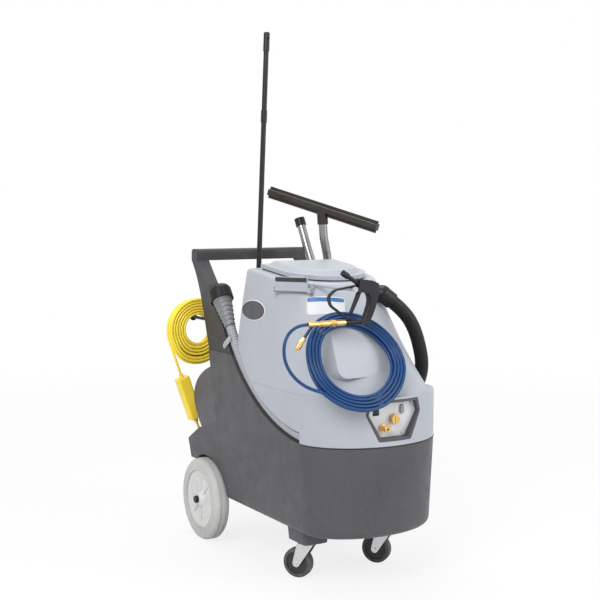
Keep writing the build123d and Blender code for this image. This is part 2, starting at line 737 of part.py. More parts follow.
# Quick-connect outlet of the solution, with its sliding collar
outlet_nose_radius = 7.5
outlet_reach = 32            # of the nose, from the panel's face
outlet_bore_depth = 16
outlet_tip = panel_face + outlet_reach
collar_length = 8
collar_travel = 5
outlet_axis_plane = Plane(
    origin=(panel_face, outlet_y, outlet_z), x_dir=(1, 0, 0), z_dir=(0, -1, 0)
)
with BuildPart() as outlet_socket:
    with BuildSketch(outlet_axis_plane):
        with BuildLine():
            Polyline(
                (-16, 0), (-16, outlet_tail_radius), (-plate_thickness - 6, outlet_tail_radius),
                (-plate_thickness - 6, outlet_tail_radius + 4), (-plate_thickness - seat_gap, outlet_tail_radius + 4),
                (-plate_thickness - seat_gap, outlet_tail_radius), (seat_gap, outlet_tail_radius),
                (seat_gap, outlet_tail_radius + 5), (5, outlet_tail_radius + 5), (5, outlet_tail_radius + 2),
                (14, outlet_tail_radius + 2), (14, outlet_nose_radius), (outlet_reach, outlet_nose_radius),
                (outlet_reach, outlet_bore), (outlet_reach - outlet_bore_depth, outlet_bore),
                (outlet_reach - outlet_bore_depth, 0), (-16, 0),
            )
        make_face()
    revolve(axis=Axis((panel_face, outlet_y, outlet_z), (1, 0, 0)))
save(outlet_socket, "outlet_socket")

with BuildPart() as outlet_collar:
    with BuildSketch(Plane.YZ.offset(outlet_tip - 0.5)):
        with Locations((outlet_y, outlet_z)):
            Circle(outlet_nose_radius + 3.5)
            Circle(outlet_nose_radius + seat_gap, mode=Mode.SUBTRACT)
    extrude(amount=-collar_length)
    chamfer(outlet_collar.edges().filter_by(GeomType.CIRCLE).sort_by(SortBy.RADIUS)[-2:], length=1)
save(outlet_collar, "outlet_collar")

# Rear axle with a collar inside each wheel, the wheels and the caps on the axle's ends
hub_inner = wheel_y - hub_length / 2
hub_outer = wheel_y + hub_length / 2
block_outer = well_inner - 4
cap_depth = 6
with BuildPart() as rear_axle:
    with Locations((axle_x, 0, wheel_radius)):
        Cylinder(axle_radius, 2 * (hub_outer + seat_gap + cap_depth), rotation=(90, 0, 0))
    for side in (-1, 1):
        with Locations((axle_x, side * (block_outer + hub_inner) / 2, wheel_radius)):
            Cylinder(axle_radius + 5, hub_inner - block_outer - 2 * seat_gap, rotation=(90, 0, 0))
save(rear_axle, "rear_axle")

with BuildPart() as axle_caps:
    for side in (-1, 1):
        cap_plane = Plane(
            origin=(axle_x, side * (hub_outer + seat_gap), wheel_radius), x_dir=(1, 0, 0), z_dir=(0, side, 0)
        )
        with BuildSketch(cap_plane):
            Circle(cap_radius)
        extrude(amount=cap_length)
        with BuildSketch(cap_plane):
            Circle(axle_radius + axle_fit)
        extrude(amount=cap_depth + seat_gap, mode=Mode.SUBTRACT)
    fillet(axle_caps.edges().filter_by(GeomType.CIRCLE).group_by(SortBy.RADIUS)[-1].sort_by(Axis.Y)[0], radius=4)
    fillet(axle_caps.edges().filter_by(GeomType.CIRCLE).group_by(SortBy.RADIUS)[-1].sort_by(Axis.Y)[-1], radius=4)
save(axle_caps, "axle_caps")

wheel_axis = Axis((axle_x, 0, wheel_radius), (0, 1, 0))
for side, name in ((-1, "right"), (1, "left")):
    wheel_plane = Plane(
        origin=(axle_x, side * wheel_y, wheel_radius), x_dir=(0, side, 0), z_dir=(side, 0, 0)
    )
    with BuildPart() as rear_tyre:
        with BuildSketch(wheel_plane):
            with Locations((0, (rim_disc_radius + wheel_radius) / 2)):
                Rectangle(tyre_width, wheel_radius - rim_disc_radius)
            fillet(vertices().group_by(Axis.Y)[-1], radius=19)
            with Locations((-tyre_width / 6, wheel_radius), (tyre_width / 6, wheel_radius)):
                Rectangle(4, 6, mode=Mode.SUBTRACT)
        revolve(axis=wheel_axis)
    save(rear_tyre, f"rear_tyre_{name}")

    with BuildPart() as rear_hub:
        rim = rim_disc_radius - seat_gap
        half_hub = hub_length / 2
        with BuildSketch(wheel_plane):
            with BuildLine():
                Polyline(
                    (-half_hub, axle_radius + axle_fit), (half_hub, axle_radius + axle_fit), (half_hub, 20),
                    (half_hub - 16, 34), (half_hub - 16, rim - 28), (tyre_width / 2 - 5, rim - 9),
                    (tyre_width / 2 - 5, rim), (-tyre_width / 2 + 5, rim), (-tyre_width / 2 + 5, rim - 9),
                    (half_hub - 24, rim - 28), (half_hub - 24, 34), (-half_hub, 20),
                    (-half_hub, axle_radius + axle_fit),
                )
            make_face()
        revolve(axis=wheel_axis)
        # Ribs on the outer side of the disc
        rib_plane = Plane(
            origin=(axle_x, side * (wheel_y + half_hub - 17), wheel_radius), x_dir=(1, 0, 0), z_dir=(0, side, 0)
        )
        with BuildSketch(rib_plane):
            with PolarLocations((34 + rim - 28) / 2, 8):
                Rectangle(rim - 60, 7)
        extrude(amount=5)
    save(rear_hub, f"rear_hub_{name}")

# Swivel casters, which stand turned; x runs along the rolling direction and y up
caster_turn = math.radians(caster_angle)
roll = Vector(math.cos(caster_turn), math.sin(caster_turn), 0)
fork_top = caster_height - caster_plate[2] - 7
fork_side = caster_width / 2 + 2
kingpin_head = 3.5
race_radius = 26
with BuildPart() as caster_plates:
    for side in (-1, 1):
        with BuildSketch(Plane.XY.offset(caster_height - seat_gap)):
            with Locations((caster_x, side * caster_y)):
                RectangleRounded(caster_plate[0], caster_plate[1], 8)
        extrude(amount=-caster_plate[2])
        with Locations((caster_x, side * caster_y, fork_top + seat_gap)):
            Cylinder(race_radius, caster_height - fork_top - 2 * seat_gap - 1,
                     align=(Align.CENTER, Align.CENTER, Align.MIN))
        with Locations((caster_x, side * caster_y, fork_top + 1)):
            Cylinder(kingpin_radius, fork_wall + 2 + kingpin_head, align=(Align.CENTER, Align.CENTER, Align.MAX))
        with Locations((caster_x, side * caster_y, fork_top - fork_wall - seat_gap)):
            Cylinder(kingpin_radius + 4, kingpin_head, align=(Align.CENTER, Align.CENTER, Align.MAX))
save(caster_plates, "caster_plates")

for side, name in ((-1, "right"), (1, "left")):
    caster_side_plane = Plane(
        origin=(caster_x, side * caster_y, 0), x_dir=roll, z_dir=(roll.Y, -roll.X, 0)
    )
    axle_plane = Plane(
        origin=Vector(caster_x, side * caster_y, caster_radius) - roll * caster_trail,
        x_dir=(0, 0, 1), z_dir=(roll.Y, -roll.X, 0),
    )
    with BuildPart() as caster_fork:
        for offset_side in (-1, 1):
            with BuildSketch(caster_side_plane.offset(offset_side * (fork_side + fork_wall / 2))):
                with Locations((-caster_trail, caster_radius)):
                    Circle(13)
                with Locations((-4, fork_top - fork_wall / 2)):
                    Rectangle(56, fork_wall)
                make_hull()
            extrude(amount=fork_wall / 2, both=True)
        with BuildSketch(caster_side_plane):
            with Locations((-4, fork_top - fork_wall / 2)):
                Rectangle(56, fork_wall)
        extrude(amount=fork_side + fork_wall, both=True)
        with Locations((caster_x, side * caster_y, fork_top)):
            Cylinder(kingpin_radius + axle_fit, 4 * fork_wall, mode=Mode.SUBTRACT)
        with Locations(axle_plane):
            Cylinder(caster_axle_radius, 2 * (fork_side + fork_wall + 4))
    save(caster_fork, f"caster_fork_{name}")

    tread_inner = caster_radius - 13
    with BuildPart() as caster_tyre:
        with BuildSketch(axle_plane):
            Circle(caster_radius)
            Circle(tread_inner, mode=Mode.SUBTRACT)
        extrude(amount=caster_width / 2, both=True)
        fillet(caster_tyre.edges().group_by(SortBy.LENGTH)[-1], radius=7)
    save(caster_tyre, f"caster_tyre_{name}")

    with BuildPart() as caster_hub:
        with BuildSketch(axle_plane):
            Circle(tread_inner - seat_gap)
            Circle(caster_axle_radius + axle_fit, mode=Mode.SUBTRACT)
        extrude(amount=caster_width / 2 - 4, both=True)
        with BuildSketch(axle_plane):
            Circle(caster_axle_radius + 8)
            Circle(caster_axle_radius + axle_fit, mode=Mode.SUBTRACT)
        extrude(amount=caster_width / 2 + 1.5, both=True)
    save(caster_hub, f"caster_hub_{name}")

# Tools that stand in the tray: the squeegee wand, the second tube and the pole
with BuildPart() as wand_tube:
    with BuildLine() as wand_path:
        FilletPolyline(
            (*wand_foot, tool_floor + seat_gap), (*wand_foot, 1060), (ahead(204), 146, 1130),
            (ahead(205), 139, 1215), radius=150,
        )
    with BuildSketch(wand_plane.offset(seat_gap)):
        Circle(tube_radius)
        Circle(tube_radius - tube_wall, mode=Mode.SUBTRACT)
    sweep(path=wand_path.wires()[0])
save(wand_tube, "wand_tube")

head_centre = Vector(ahead(205), 139, 1236)
head_turn = math.radians(squeegee_turn)
head_tilt = math.radians(squeegee_tilt)
head_plane = Plane(
    origin=head_centre,
    x_dir=(math.sin(head_turn), -math.cos(head_turn), 0),
    z_dir=(
        math.cos(head_tilt) * math.cos(head_turn),
        math.cos(head_tilt) * math.sin(head_turn),
        -math.sin(head_tilt),
    ),
)
wand_end = wand_path.wires()[0] @ 1
wand_heading = wand_path.wires()[0] % 1
hub_plane = Plane(origin=wand_end - wand_heading * 34, z_dir=wand_heading)
channel_half = (14, 12)
with BuildPart() as squeegee_head:
    with BuildSketch(head_plane):
        Rectangle(2 * channel_half[0], 2 * channel_half[1])
        fillet(vertices(), radius=4)
    extrude(amount=squeegee_length / 2, both=True)
    with BuildSketch(hub_plane):
        Circle(tube_radius + socket_wall)
    extrude(amount=50)
    with BuildSketch(hub_plane):
        Circle(tube_radius + seat_gap)
    extrude(amount=34 + seat_gap, mode=Mode.SUBTRACT)
    # Slots along both edges that hold the blades
    with BuildSketch(head_plane):
        with Locations((0, channel_half[1]), (0, -channel_half[1])):
            Rectangle(6, 12, mode=Mode.ADD)
    extrude(amount=squeegee_length, both=True, mode=Mode.SUBTRACT)
save(squeegee_head, "squeegee_head")

with BuildPart() as squeegee_blade:
    with BuildSketch(head_plane):
        for edge in (-1, 1):
            with Locations((0, edge * (channel_half[1] - 6 + seat_gap))):
                Rectangle(6 - 2 * seat_gap, 16,
                          align=(Align.CENTER, Align.MIN if edge > 0 else Align.MAX))
    extrude(amount=squeegee_length / 2 - 2, both=True)
    with BuildSketch(hub_plane.offset(-20)):
        Circle(tube_radius + socket_wall + 1)
    extrude(amount=72, mode=Mode.SUBTRACT)
save(squeegee_blade, "squeegee_blade")

with BuildPart() as upper_tube:
    with BuildLine() as upper_path:
        FilletPolyline(
            (*upper_tube_foot, tool_floor + seat_gap), (*upper_tube_foot, 1000), (ahead(86), 144, 1095),
            (ahead(50), 135, 1188), radius=130,
        )
    with BuildSketch(upper_tube_plane.offset(seat_gap)):
        Circle(tube_radius)
        Circle(tube_radius - tube_wall, mode=Mode.SUBTRACT)
    sweep(path=upper_path.wires()[0])
save(upper_tube, "upper_tube")

tube_cuff_length = 30
tube_cuff_bore = 17
upper_end = upper_path.wires()[0] @ 1
upper_heading = upper_path.wires()[0] % 1
tube_cuff_plane = Plane(origin=upper_end - upper_heading * 16, z_dir=upper_heading)
with BuildPart() as upper_tube_cuff:
    with BuildSketch(tube_cuff_plane):
        Circle(tube_cuff_bore + 3)
        Circle(tube_radius + seat_gap, mode=Mode.SUBTRACT)
    extrude(amount=16)
    with BuildSketch(tube_cuff_plane.offset(16)):
        Circle(tube_cuff_bore + 3)
        Circle(tube_cuff_bore, mode=Mode.SUBTRACT)
    extrude(amount=tube_cuff_length - 16)
save(upper_tube_cuff, "upper_tube_cuff")

pole_length = (pole_top - tool_floor) / math.cos(pole_turn)
sleeve_radius = 11.5
with BuildPart() as pole:
    with BuildSketch(pole_plane.offset(seat_gap)):
        Circle(pole_radius)
    extrude(amount=pole_length - seat_gap)
    with BuildSketch(pole_plane.offset(pole_length - 330)):
        Circle(sleeve_radius)
    extrude(amount=45)
    with BuildSketch(pole_plane.offset(pole_length - 70)):
        Circle(sleeve_radius)
    extrude(amount=70)
    fillet(pole.faces().sort_by(Axis.Z)[-1].edges(), radius=6)
    with Locations(pole_plane.offset(pole_length - 24)):
        Cylinder(3.5, 4 * sleeve_radius, rotation=(0, 90, 0), mode=Mode.SUBTRACT)
save(pole, "pole")

# Drain hose: ribbed, along the groove, with a straight stretch at each end
drain_arc_length = drain_arc_radius * math.radians(drain_hose_angles[1] - drain_hose_angles[0])
drain_length = drain_arc_length + 2 * drain_end_length
rib_depth = 2


def drain_station(distance):
    """Plane across the drain hose, so far from its front end."""
    if distance < drain_end_length:
        return drain_plane(drain_hose_angles[0], distance - drain_end_length)
    if distance > drain_end_length + drain_arc_length:
        return drain_plane(drain_hose_angles[1], distance - drain_end_length - drain_arc_length)
    turned = math.degrees((distance - drain_end_length) / drain_arc_radius)
    return drain_plane(drain_hose_angles[0] + turned, 0)


rib_pitch = drain_length / (drain_rib_count + 1)
rib_steps = ((0.15, -rib_depth), (0.4, 0), (0.6, 0), (0.85, -rib_depth))
with BuildPart() as drain_hose:
    for rib in range(drain_rib_count + 1):
        for share, height in rib_steps:
            with BuildSketch(drain_station((rib + share) * rib_pitch)):
                Circle(drain_hose_radius + height)
    loft(ruled=True)
    for step in range(17):
        with BuildSketch(drain_station(drain_length * step / 16)):
            Circle(drain_hose_bore)
    loft(ruled=True, mode=Mode.SUBTRACT)
save(drain_hose, "drain_hose")

# Outlet coupling of the drain, with a ring in front of the hose and a spigot inside it
with BuildPart() as drain_outlet:
    with BuildSketch(outlet_plane.offset(-seat_gap)):
        Circle(drain_hose_radius)
    extrude(amount=-5)
    with BuildSketch(outlet_plane.offset(-4)):
        Circle(drain_outlet_radius)
    extrude(amount=18)
    with Locations((outlet_plane.origin.X + 4, -drain_y, drain_outlet_z)):
        Cylinder(drain_outlet_radius, step_x + tank_wall + 4 - outlet_plane.origin.X - 4, rotation=(0, 90, 0),
                 align=(Align.CENTER, Align.CENTER, Align.MIN))
    with BuildSketch(outlet_plane.offset(-8)):
        Circle(drain_outlet_radius - 3)
    extrude(amount=30, mode=Mode.SUBTRACT)
save(drain_outlet, "drain_outlet")

# Flared mouth of the drain hose, with ribs, and the cap that closes it
with BuildPart() as drain_cuff:
    cuff_rings = 7
    for ring in range(cuff_rings):
        for share, height in ((0, 0), (0.3, 2), (0.6, 2), (0.9, 0)):
            reached = (ring + share) / cuff_rings
            width = drain_hose_radius + (cuff_mouth_radius - 2 - drain_hose_radius) * reached
            with BuildSketch(cuff_plane.offset(reached * cuff_length + seat_gap)):
                Circle(width + height - 2 * reached)
    loft(ruled=True)
    with BuildSketch(cuff_plane):
        Circle(drain_hose_bore)
    with BuildSketch(cuff_plane.offset(cuff_length + 1)):
        Circle(cuff_mouth_radius - 2 - cuff_wall - 4)
    loft(ruled=True, mode=Mode.SUBTRACT)
save(drain_cuff, "drain_cuff")

cap_overlap = 12             # how far the cap reaches back over the mouth
cap_bore = 37
cap_start = cuff_length - cap_overlap
with BuildPart() as drain_cap:
    with BuildSketch(cuff_plane.offset(cap_start)):
        Circle(drain_cap_radius)
    extrude(amount=drain_cap_height)
    fillet(drain_cap.faces().sort_by(Axis((0, 0, 0), cuff_plane.z_dir))[-1].edges(), radius=26)
    with BuildSketch(cuff_plane.offset(cap_start)):
        Circle(cap_bore)
    extrude(amount=drain_cap_height - 24, mode=Mode.SUBTRACT)
save(drain_cap, "drain_cap")

# Clip that holds the hose to the side of the right upright
clip_angle = 53.5
clip_turn = math.radians(clip_angle)
clip_x, clip_z = rim_point(rim_radius, clip_angle)
clip_plane = Plane(
    origin=(clip_x, -half_width + 3 - seat_gap, clip_z),
    x_dir=(-math.sin(clip_turn), 0, -math.cos(clip_turn)),
    z_dir=(0, -1, 0),
)
with BuildPart() as hose_clip:
    with BuildSketch(clip_plane):
        with Locations((0, 0)):
            SlotOverall(64, 20)
    extrude(amount=4)
    with BuildSketch(clip_plane.offset(4)):
        with Locations((18, 0)):
            Circle(6)
    extrude(amount=3)
save(hose_clip, "hose_clip")

# Float shut-off inside the tank: a standpipe with a cage that holds a ball
float_x, float_y = ahead(330), 80
standpipe_radius = 25
cage_floor = 840
cage_height = 86
cage_post_circle = 30
ball_radius = 22
with BuildPart() as float_cage:
    with Locations((float_x, float_y, cage_floor)):
        Cylinder(standpipe_radius, cage_floor - shoulder_height + 20, align=(Align.CENTER, Align.CENTER, Align.MAX))
    with BuildSketch(Plane.XZ.offset(-float_y)):
        with Locations((arc_x, arc_z)):
            Circle(tank_radius - tank_wall - seat_gap)
    extrude(amount=2 * standpipe_radius, both=True, mode=Mode.INTERSECT)
    with BuildSketch(Plane.XY.offset(cage_floor)):
        with Locations((float_x, float_y)):
            Circle(cage_post_circle + 4)
    extrude(amount=6)
    with BuildSketch(Plane.XY.offset(cage_floor)):
        with Locations((float_x, float_y)):
            with PolarLocations(cage_post_circle, 4):
                Circle(3)
    extrude(amount=cage_height)
    with BuildSketch(Plane.XY.offset(cage_floor + cage_height)):
        with Locations((float_x, float_y)):
            Circle(cage_post_circle + 4)
            Circle(ball_radius - 6, mode=Mode.SUBTRACT)
    extrude(amount=6)
save(float_cage, "float_cage")

with BuildPart() as float_ball:
    with Locations((float_x, float_y, cage_floor + 6 + seat_gap + ball_radius)):
        Sphere(ball_radius)
save(float_ball, "float_ball")

# Vacuum motor and solution pump, on the floor of the motor compartment
motor_x, motor_y = ahead(62), 80
motor_radius = 74
pump_x, pump_y = ahead(52), -92
with BuildPart() as vac_motor:
    with Locations((motor_x, motor_y, base_bottom + floor_wall + seat_gap)):
        Cylinder(motor_radius, 96, align=(Align.CENTER, Align.CENTER, Align.MIN))
    fillet(vac_motor.faces().sort_by(Axis.Z)[-1].edges(), radius=14)
    with Locations((motor_x, motor_y, base_bottom + floor_wall + 90)):
        Cylinder(50, 70, align=(Align.CENTER, Align.CENTER, Align.MIN))
    with Locations((motor_x, motor_y, base_bottom + floor_wall + 50)):
        Cylinder(19, motor_radius + 34, rotation=(0, 90, 0), align=(Align.CENTER, Align.CENTER, Align.MIN))
save(vac_motor, "vac_motor")

with BuildPart() as solution_pump:
    with Locations((pump_x, pump_y, base_bottom + floor_wall + seat_gap)):
        Box(150, 86, 10, align=(Align.CENTER, Align.CENTER, Align.MIN))
    with Locations((pump_x - 70, pump_y, base_bottom + floor_wall + 56)):
        Cylinder(40, 90, rotation=(0, 90, 0), align=(Align.CENTER, Align.CENTER, Align.MIN))
    with Locations((pump_x + 46, pump_y, base_bottom + floor_wall + 48)):
        Box(52, 74, 80)
    with Locations((pump_x - 24, pump_y, base_bottom + floor_wall + 12)):
        Box(70, 30, 20)
    with Locations((pump_x + 46, pump_y, base_bottom + floor_wall + 84)):
        Cylinder(9, 30, align=(Align.CENTER, Align.CENTER, Align.MIN))
save(solution_pump, "solution_pump")


def cord_radii(points):
    """Radius of the arc at each inner point of a cord's route, as large as its runs allow."""
    radii = []
    for before, corner, after in zip(points, points[1:], points[2:]):
        first = Vector(corner) - Vector(before)
        second = Vector(after) - Vector(corner)
        half_turn = math.radians(first.get_angle(second)) / 2
        radii.append(0.45 * min(first.length, second.length) / math.tan(half_turn))
    return radii


def report_cord(name, points, diameter, path, piece):
    """Print a cord's tightest bend, its length and how far its volume is from section times length."""
    radii = cord_radii(points)
    solid_share = piece.part.volume / (math.pi * diameter ** 2 / 4 * path.length)
    print(f"{name}: least radius {min(radii) / diameter:.1f} diameters, radii "
          f"{[round(radius) for radius in radii]}, length {path.length:.0f} mm, "
          f"volume over section times length {solid_share:.4f}")


# Vacuum hose: from an elbow on the tank's front, down the left side and up over a hook
inlet_normal = Vector(0.863, 0.505, 0)
inlet_heading = Vector(0.15, 0.78, -0.607).normalized()
inlet_seat = Vector(ahead(606), 107, 950)
inlet_bend = inlet_seat + inlet_normal * 26
vac_hose_start = inlet_bend + inlet_heading * 42
hook_x, hook_z = ahead(50), 836
hook_radius = 10
vac_hose_y = 277
hook_crest = hook_z + hook_radius + vac_hose_diameter / 2 + 1.5
hang_radius = 160            # of the hose's bend over the hook
hang_corners = 5             # corners of the route round that bend
corner_turn = math.pi / hang_corners
corner_radius = hang_radius / math.cos(corner_turn / 2)
hang_points = [
    (
        hook_x + corner_radius * math.cos(corner_turn * (corner + 0.5)),
        vac_hose_y,
        hook_crest + 8 - corner_radius + corner_radius * math.sin(corner_turn * (corner + 0.5)),
    )
    for corner in range(hang_corners)
]
vac_hose_points = [
    tuple(vac_hose_start),
    tuple(vac_hose_start + inlet_heading * 60),
    (ahead(650), 238, 830),
    (ahead(646), 262, 758),
    (ahead(618), 276, 684),
    (ahead(566), 278, 618),
    (ahead(494), 277.5, 567),
    (ahead(410), vac_hose_y, 541),
    (ahead(341), vac_hose_y, 541.5),
    (ahead(282.4), vac_hose_y, 565.4),
    (ahead(237.4), vac_hose_y, 610.4),
    (ahead(213), vac_hose_y, 669),
    *hang_points,
    (ahead(-113), vac_hose_y, 668),
    (ahead(-110), vac_hose_y, 590),
]
with BuildPart() as vac_inlet:
    with BuildSketch(Plane(origin=inlet_seat - inlet_normal * 4, z_dir=inlet_normal)):
        Circle(30)
    extrude(amount=30)
    with Locations(Location(inlet_bend)):
        Sphere(30)
    with BuildSketch(Plane(origin=inlet_bend, z_dir=inlet_heading)):
        Circle(29)
    extrude(amount=42 - seat_gap)
    add(recovery_tank.part, mode=Mode.SUBTRACT)
    add(tank_inside.part, mode=Mode.SUBTRACT)
save(vac_inlet, "vac_inlet")

with BuildPart() as vac_hose:
    with BuildLine() as vac_path:
        FilletPolyline(*vac_hose_points, radius=cord_radii(vac_hose_points))
    with BuildSketch(Plane(origin=vac_hose_points[0], z_dir=inlet_heading)):
        Circle(vac_hose_diameter / 2)
    sweep(path=vac_path.wires()[0])
save(vac_hose, "vac_hose")
report_cord("vac_hose", vac_hose_points, vac_hose_diameter, vac_path.wires()[0], vac_hose)

vac_end = vac_path.wires()[0] @ 1
vac_end_plane = Plane(origin=vac_end, z_dir=vac_path.wires()[0] % 1)
with BuildPart() as vac_cuff:
    with BuildSketch(vac_end_plane):
        Circle(vac_hose_diameter / 2 + 5)
    extrude(amount=60)
    with BuildSketch(vac_end_plane.offset(60)):
        Circle(vac_hose_diameter / 2)
    extrude(amount=50)
    with BuildSketch(vac_end_plane.offset(30)):
        Circle(vac_hose_diameter / 2 - 4)
    extrude(amount=90, mode=Mode.SUBTRACT)
save(vac_cuff, "vac_cuff")


# Spray gun, drawn across the machine: handle, trigger guard, barrel and hose coupling
gun_plane = Plane(origin=(gun_x, *gun_shift), x_dir=(0, 1, 0), z_dir=(1, 0, 0))


def on_gun(across, up):
    """Point in the gun's middle plane."""
    return (gun_x, across + gun_shift[0], up + gun_shift[1])


trigger_pivot = (-56, 982)
trigger_pin_radius = 2.5
trigger_width = 11
slot_width = trigger_width + 1
barrel_radius = 7
nozzle_radius = 10
barrel_start = (-62, 993.4)
barrel_tip = (-123, 1031)
barrel_length = math.hypot(barrel_tip[0] - barrel_start[0], barrel_tip[1] - barrel_start[1])
barrel_plane = Plane(
    origin=on_gun(*barrel_start),
    x_dir=(1, 0, 0),
    z_dir=(0, barrel_tip[0] - barrel_start[0], barrel_tip[1] - barrel_start[1]),
)
gun_inlet_end = -112
guard_width = 6
guard_depth = 12
with BuildPart() as gun_body:
    with BuildSketch(gun_plane):
        with BuildLine():
            Polyline((-70, 968), (-64, 1010), (-18, 1004), (12, 992))
            Spline((12, 992), (6, 940), (-10, 895), (-25, 868))
            Polyline((-25, 868), (-46, 862), (-60, 866))
            Spline((-60, 866), (-46, 884), (-34, 912), (-27, 942), (-36, 964))
            Line((-36, 964), (-70, 968))
        make_face()
    extrude(amount=gun_thickness / 2, both=True)
    fillet(gun_body.edges().filter_by(lambda edge: edge.geom_type == GeomType.BSPLINE), radius=7)
    # Guard: a thin strip round the trigger, by which the gun hangs
    with BuildSketch(gun_plane):
        with BuildLine():
            FilletPolyline(
                (-60, 990), (-150, 977), (-178, 957), (-167, 928), (-118, 894), (-52, 870), radius=20,
            )
        trace(line_width=guard_width)
    extrude(amount=guard_depth / 2, both=True)
    with Locations(on_gun(-46, gun_inlet_z)):
        Cylinder(8, -46 - gun_inlet_end, rotation=(90, 0, 0), align=(Align.CENTER, Align.CENTER, Align.MIN))
    # Slot for the trigger with its pin, and the hole for the barrel
    with BuildSketch(gun_plane):
        with Locations((-58, 974)):
            Rectangle(32, 32)
    extrude(amount=slot_width / 2, both=True, mode=Mode.SUBTRACT)
    with Locations(on_gun(*trigger_pivot)):
        Cylinder(trigger_pin_radius, gun_thickness - 4, rotation=(0, 90, 0))
    with BuildSketch(barrel_plane.offset(-1)):
        Circle(barrel_radius + seat_gap)
    extrude(amount=barrel_length, mode=Mode.SUBTRACT)
save(gun_body, "gun_body")

with BuildPart() as gun_barrel:
    with BuildSketch(barrel_plane):
        Circle(barrel_radius)
    extrude(amount=barrel_length)
    with BuildSketch(barrel_plane.offset(barrel_length - 24)):
        Circle(nozzle_radius)
    extrude(amount=24)
    with BuildSketch(barrel_plane.offset(barrel_length - 12)):
        Circle(2.5)
    extrude(amount=12, mode=Mode.SUBTRACT)
save(gun_barrel, "gun_barrel")

with BuildPart() as gun_trigger:
    with BuildSketch(gun_plane):
        with BuildLine():
            Spline((-61, 986), (-69, 962), (-80, 936), (-93, 907))
            ThreePointArc((-93, 907), (-91, 902), (-86, 903))
            Spline((-86, 903), (-71, 932), (-58, 958), (-50, 979))
            Line((-50, 979), (-61, 986))
        make_face()
        with Locations(trigger_pivot):
            Circle(6.5)
            Circle(trigger_pin_radius + axle_fit, mode=Mode.SUBTRACT)
    extrude(amount=trigger_width / 2, both=True)
save(gun_trigger, "gun_trigger")

coupler_plane = Plane(
    origin=on_gun(gun_inlet_end - seat_gap, gun_inlet_z), x_dir=(1, 0, 0), z_dir=(0, -1, 0)
)
with BuildPart() as gun_coupler:
    for begin, end, radius in ((0, gun_coupler_length, 8), (4, 34, 10), (60, 92, 9.5), (112, gun_coupler_length, 9)):
        with BuildSketch(coupler_plane.offset(begin)):
            Circle(radius)
        extrude(amount=end - begin)
    with BuildSketch(coupler_plane.offset(38)):
        RegularPolygon(12, 6)
    extrude(amount=18)
save(gun_coupler, "gun_coupler")


def coil_stations(radius, pitch, layer_step, start, half_turns, last_turn):
    """Angle, radius, height and spiral rate at each half turn of a coil that winds in, out and in again."""
    rate = pitch / (2 * math.pi)
    angle, height, sense = start, 0, -1
    stations = [(angle, radius, height, sense * rate)]
    for layer, count in enumerate(half_turns):
        if layer:
            # The half turn where the spiral reverses climbs to the next layer
            sense = -sense
            height += layer_step
            angle += math.pi
            stations.append((angle, radius, height, sense * rate))
        for _ in range(count):
            angle += math.pi
            radius += sense * pitch / 2
            stations.append((angle, radius, height, sense * rate))
    if last_turn:
        angle += last_turn
        radius += sense * rate * last_turn
        stations.append((angle, radius, height, sense * rate))
    return stations


def coil_point(frame, station):
    """Place and heading of the coil's tube at a station, in the coil's frame."""
    angle, radius, height, rate = station
    across = frame.x_dir * math.cos(angle) + frame.y_dir * math.sin(angle)
    along = frame.y_dir * math.cos(angle) - frame.x_dir * math.sin(angle)
    place = frame.origin + across * radius + frame.z_dir * height
    return place, (across * rate + along * radius).normalized()


def biarc(start, start_heading, end, end_heading):
    """Middle point and heading of the two tangent arcs that join two places with their headings."""
    chord = end - start
    spread = 2 * (1 - start_heading.dot(end_heading))
    lean = chord.dot(start_heading + end_heading)
    reach = (math.sqrt(lean ** 2 + spread * chord.dot(chord)) - lean) / spread
    first = start + start_heading * reach
    second = end - end_heading * reach
    return (first + second) / 2, (second - first).normalized()


def coil_arcs(frame, stations):
    """Draw a coil as two tangent arcs for each step between its stations."""
    for begin, end in zip(stations, stations[1:]):
        start, start_heading = coil_point(frame, begin)
        finish, end_heading = coil_point(frame, end)
        middle, middle_heading = biarc(start, start_heading, finish, end_heading)
        TangentArc(start, middle, tangent=start_heading)
        TangentArc(middle, finish, tangent=middle_heading)


def least_gap(path, diameter):
    """Smallest gap between turns of a tube, measured on points along its middle line."""
    count = round(path.length / (1.5 * diameter))
    points = [tuple(path @ (step / count)) for step in range(count + 1)]
    skip = 4
    return min(
        math.dist(points[first], points[second])
        for first in range(count)
        for second in range(first + skip, count + 1)
    ) - diameter


# Solution hose: from the gun in a loop beside the tank, then coiled on the hanger
coil_frame = Plane(origin=(ahead(830.5), -112, 756.4), x_dir=(0, 1, 0), z_dir=(0.835, 0, 0.55))
hose_pitch = 11.6
hose_layer = 11.3
hose_stations = coil_stations(180, hose_pitch, -hose_layer, math.radians(225), (8, 8), math.radians(90))
coil_start, coil_start_heading = coil_point(coil_frame, hose_stations[0])
coil_end, coil_end_heading = coil_point(coil_frame, hose_stations[-1])
hose_meet = coil_start - coil_start_heading * blue_hose_diameter
hose_lead_points = [
    on_gun(gun_inlet_end - 2 * seat_gap - gun_coupler_length, gun_inlet_z),
    (gun_x, -305, 879),
    (ahead(803), -329, 871),
    (ahead(804), -349.2, 856.4),
    (ahead(805.9), -363.4, 833.7),
    (ahead(808.9), -369.6, 806.1),
    (ahead(813.8), -368.9, 776.5),
    (ahead(820.8), -360.1, 747.8),
    (ahead(831.7), -345.3, 722.2),
    (ahead(845.7), -325.5, 701.6),
    (ahead(860.7), -303.7, 687.9),
    (ahead(874.6), -281.9, 680.3),
    tuple(hose_meet - coil_start_heading * 22),
    tuple(hose_meet),
]
with BuildPart() as hose_lead:
    with BuildLine() as lead_path:
        FilletPolyline(*hose_lead_points, radius=cord_radii(hose_lead_points))
    with BuildSketch(Plane(origin=hose_lead_points[0], z_dir=lead_path.wires()[0] % 0)):
        Circle(blue_hose_diameter / 2)
    sweep(path=lead_path.wires()[0])
save(hose_lead, "hose_lead")
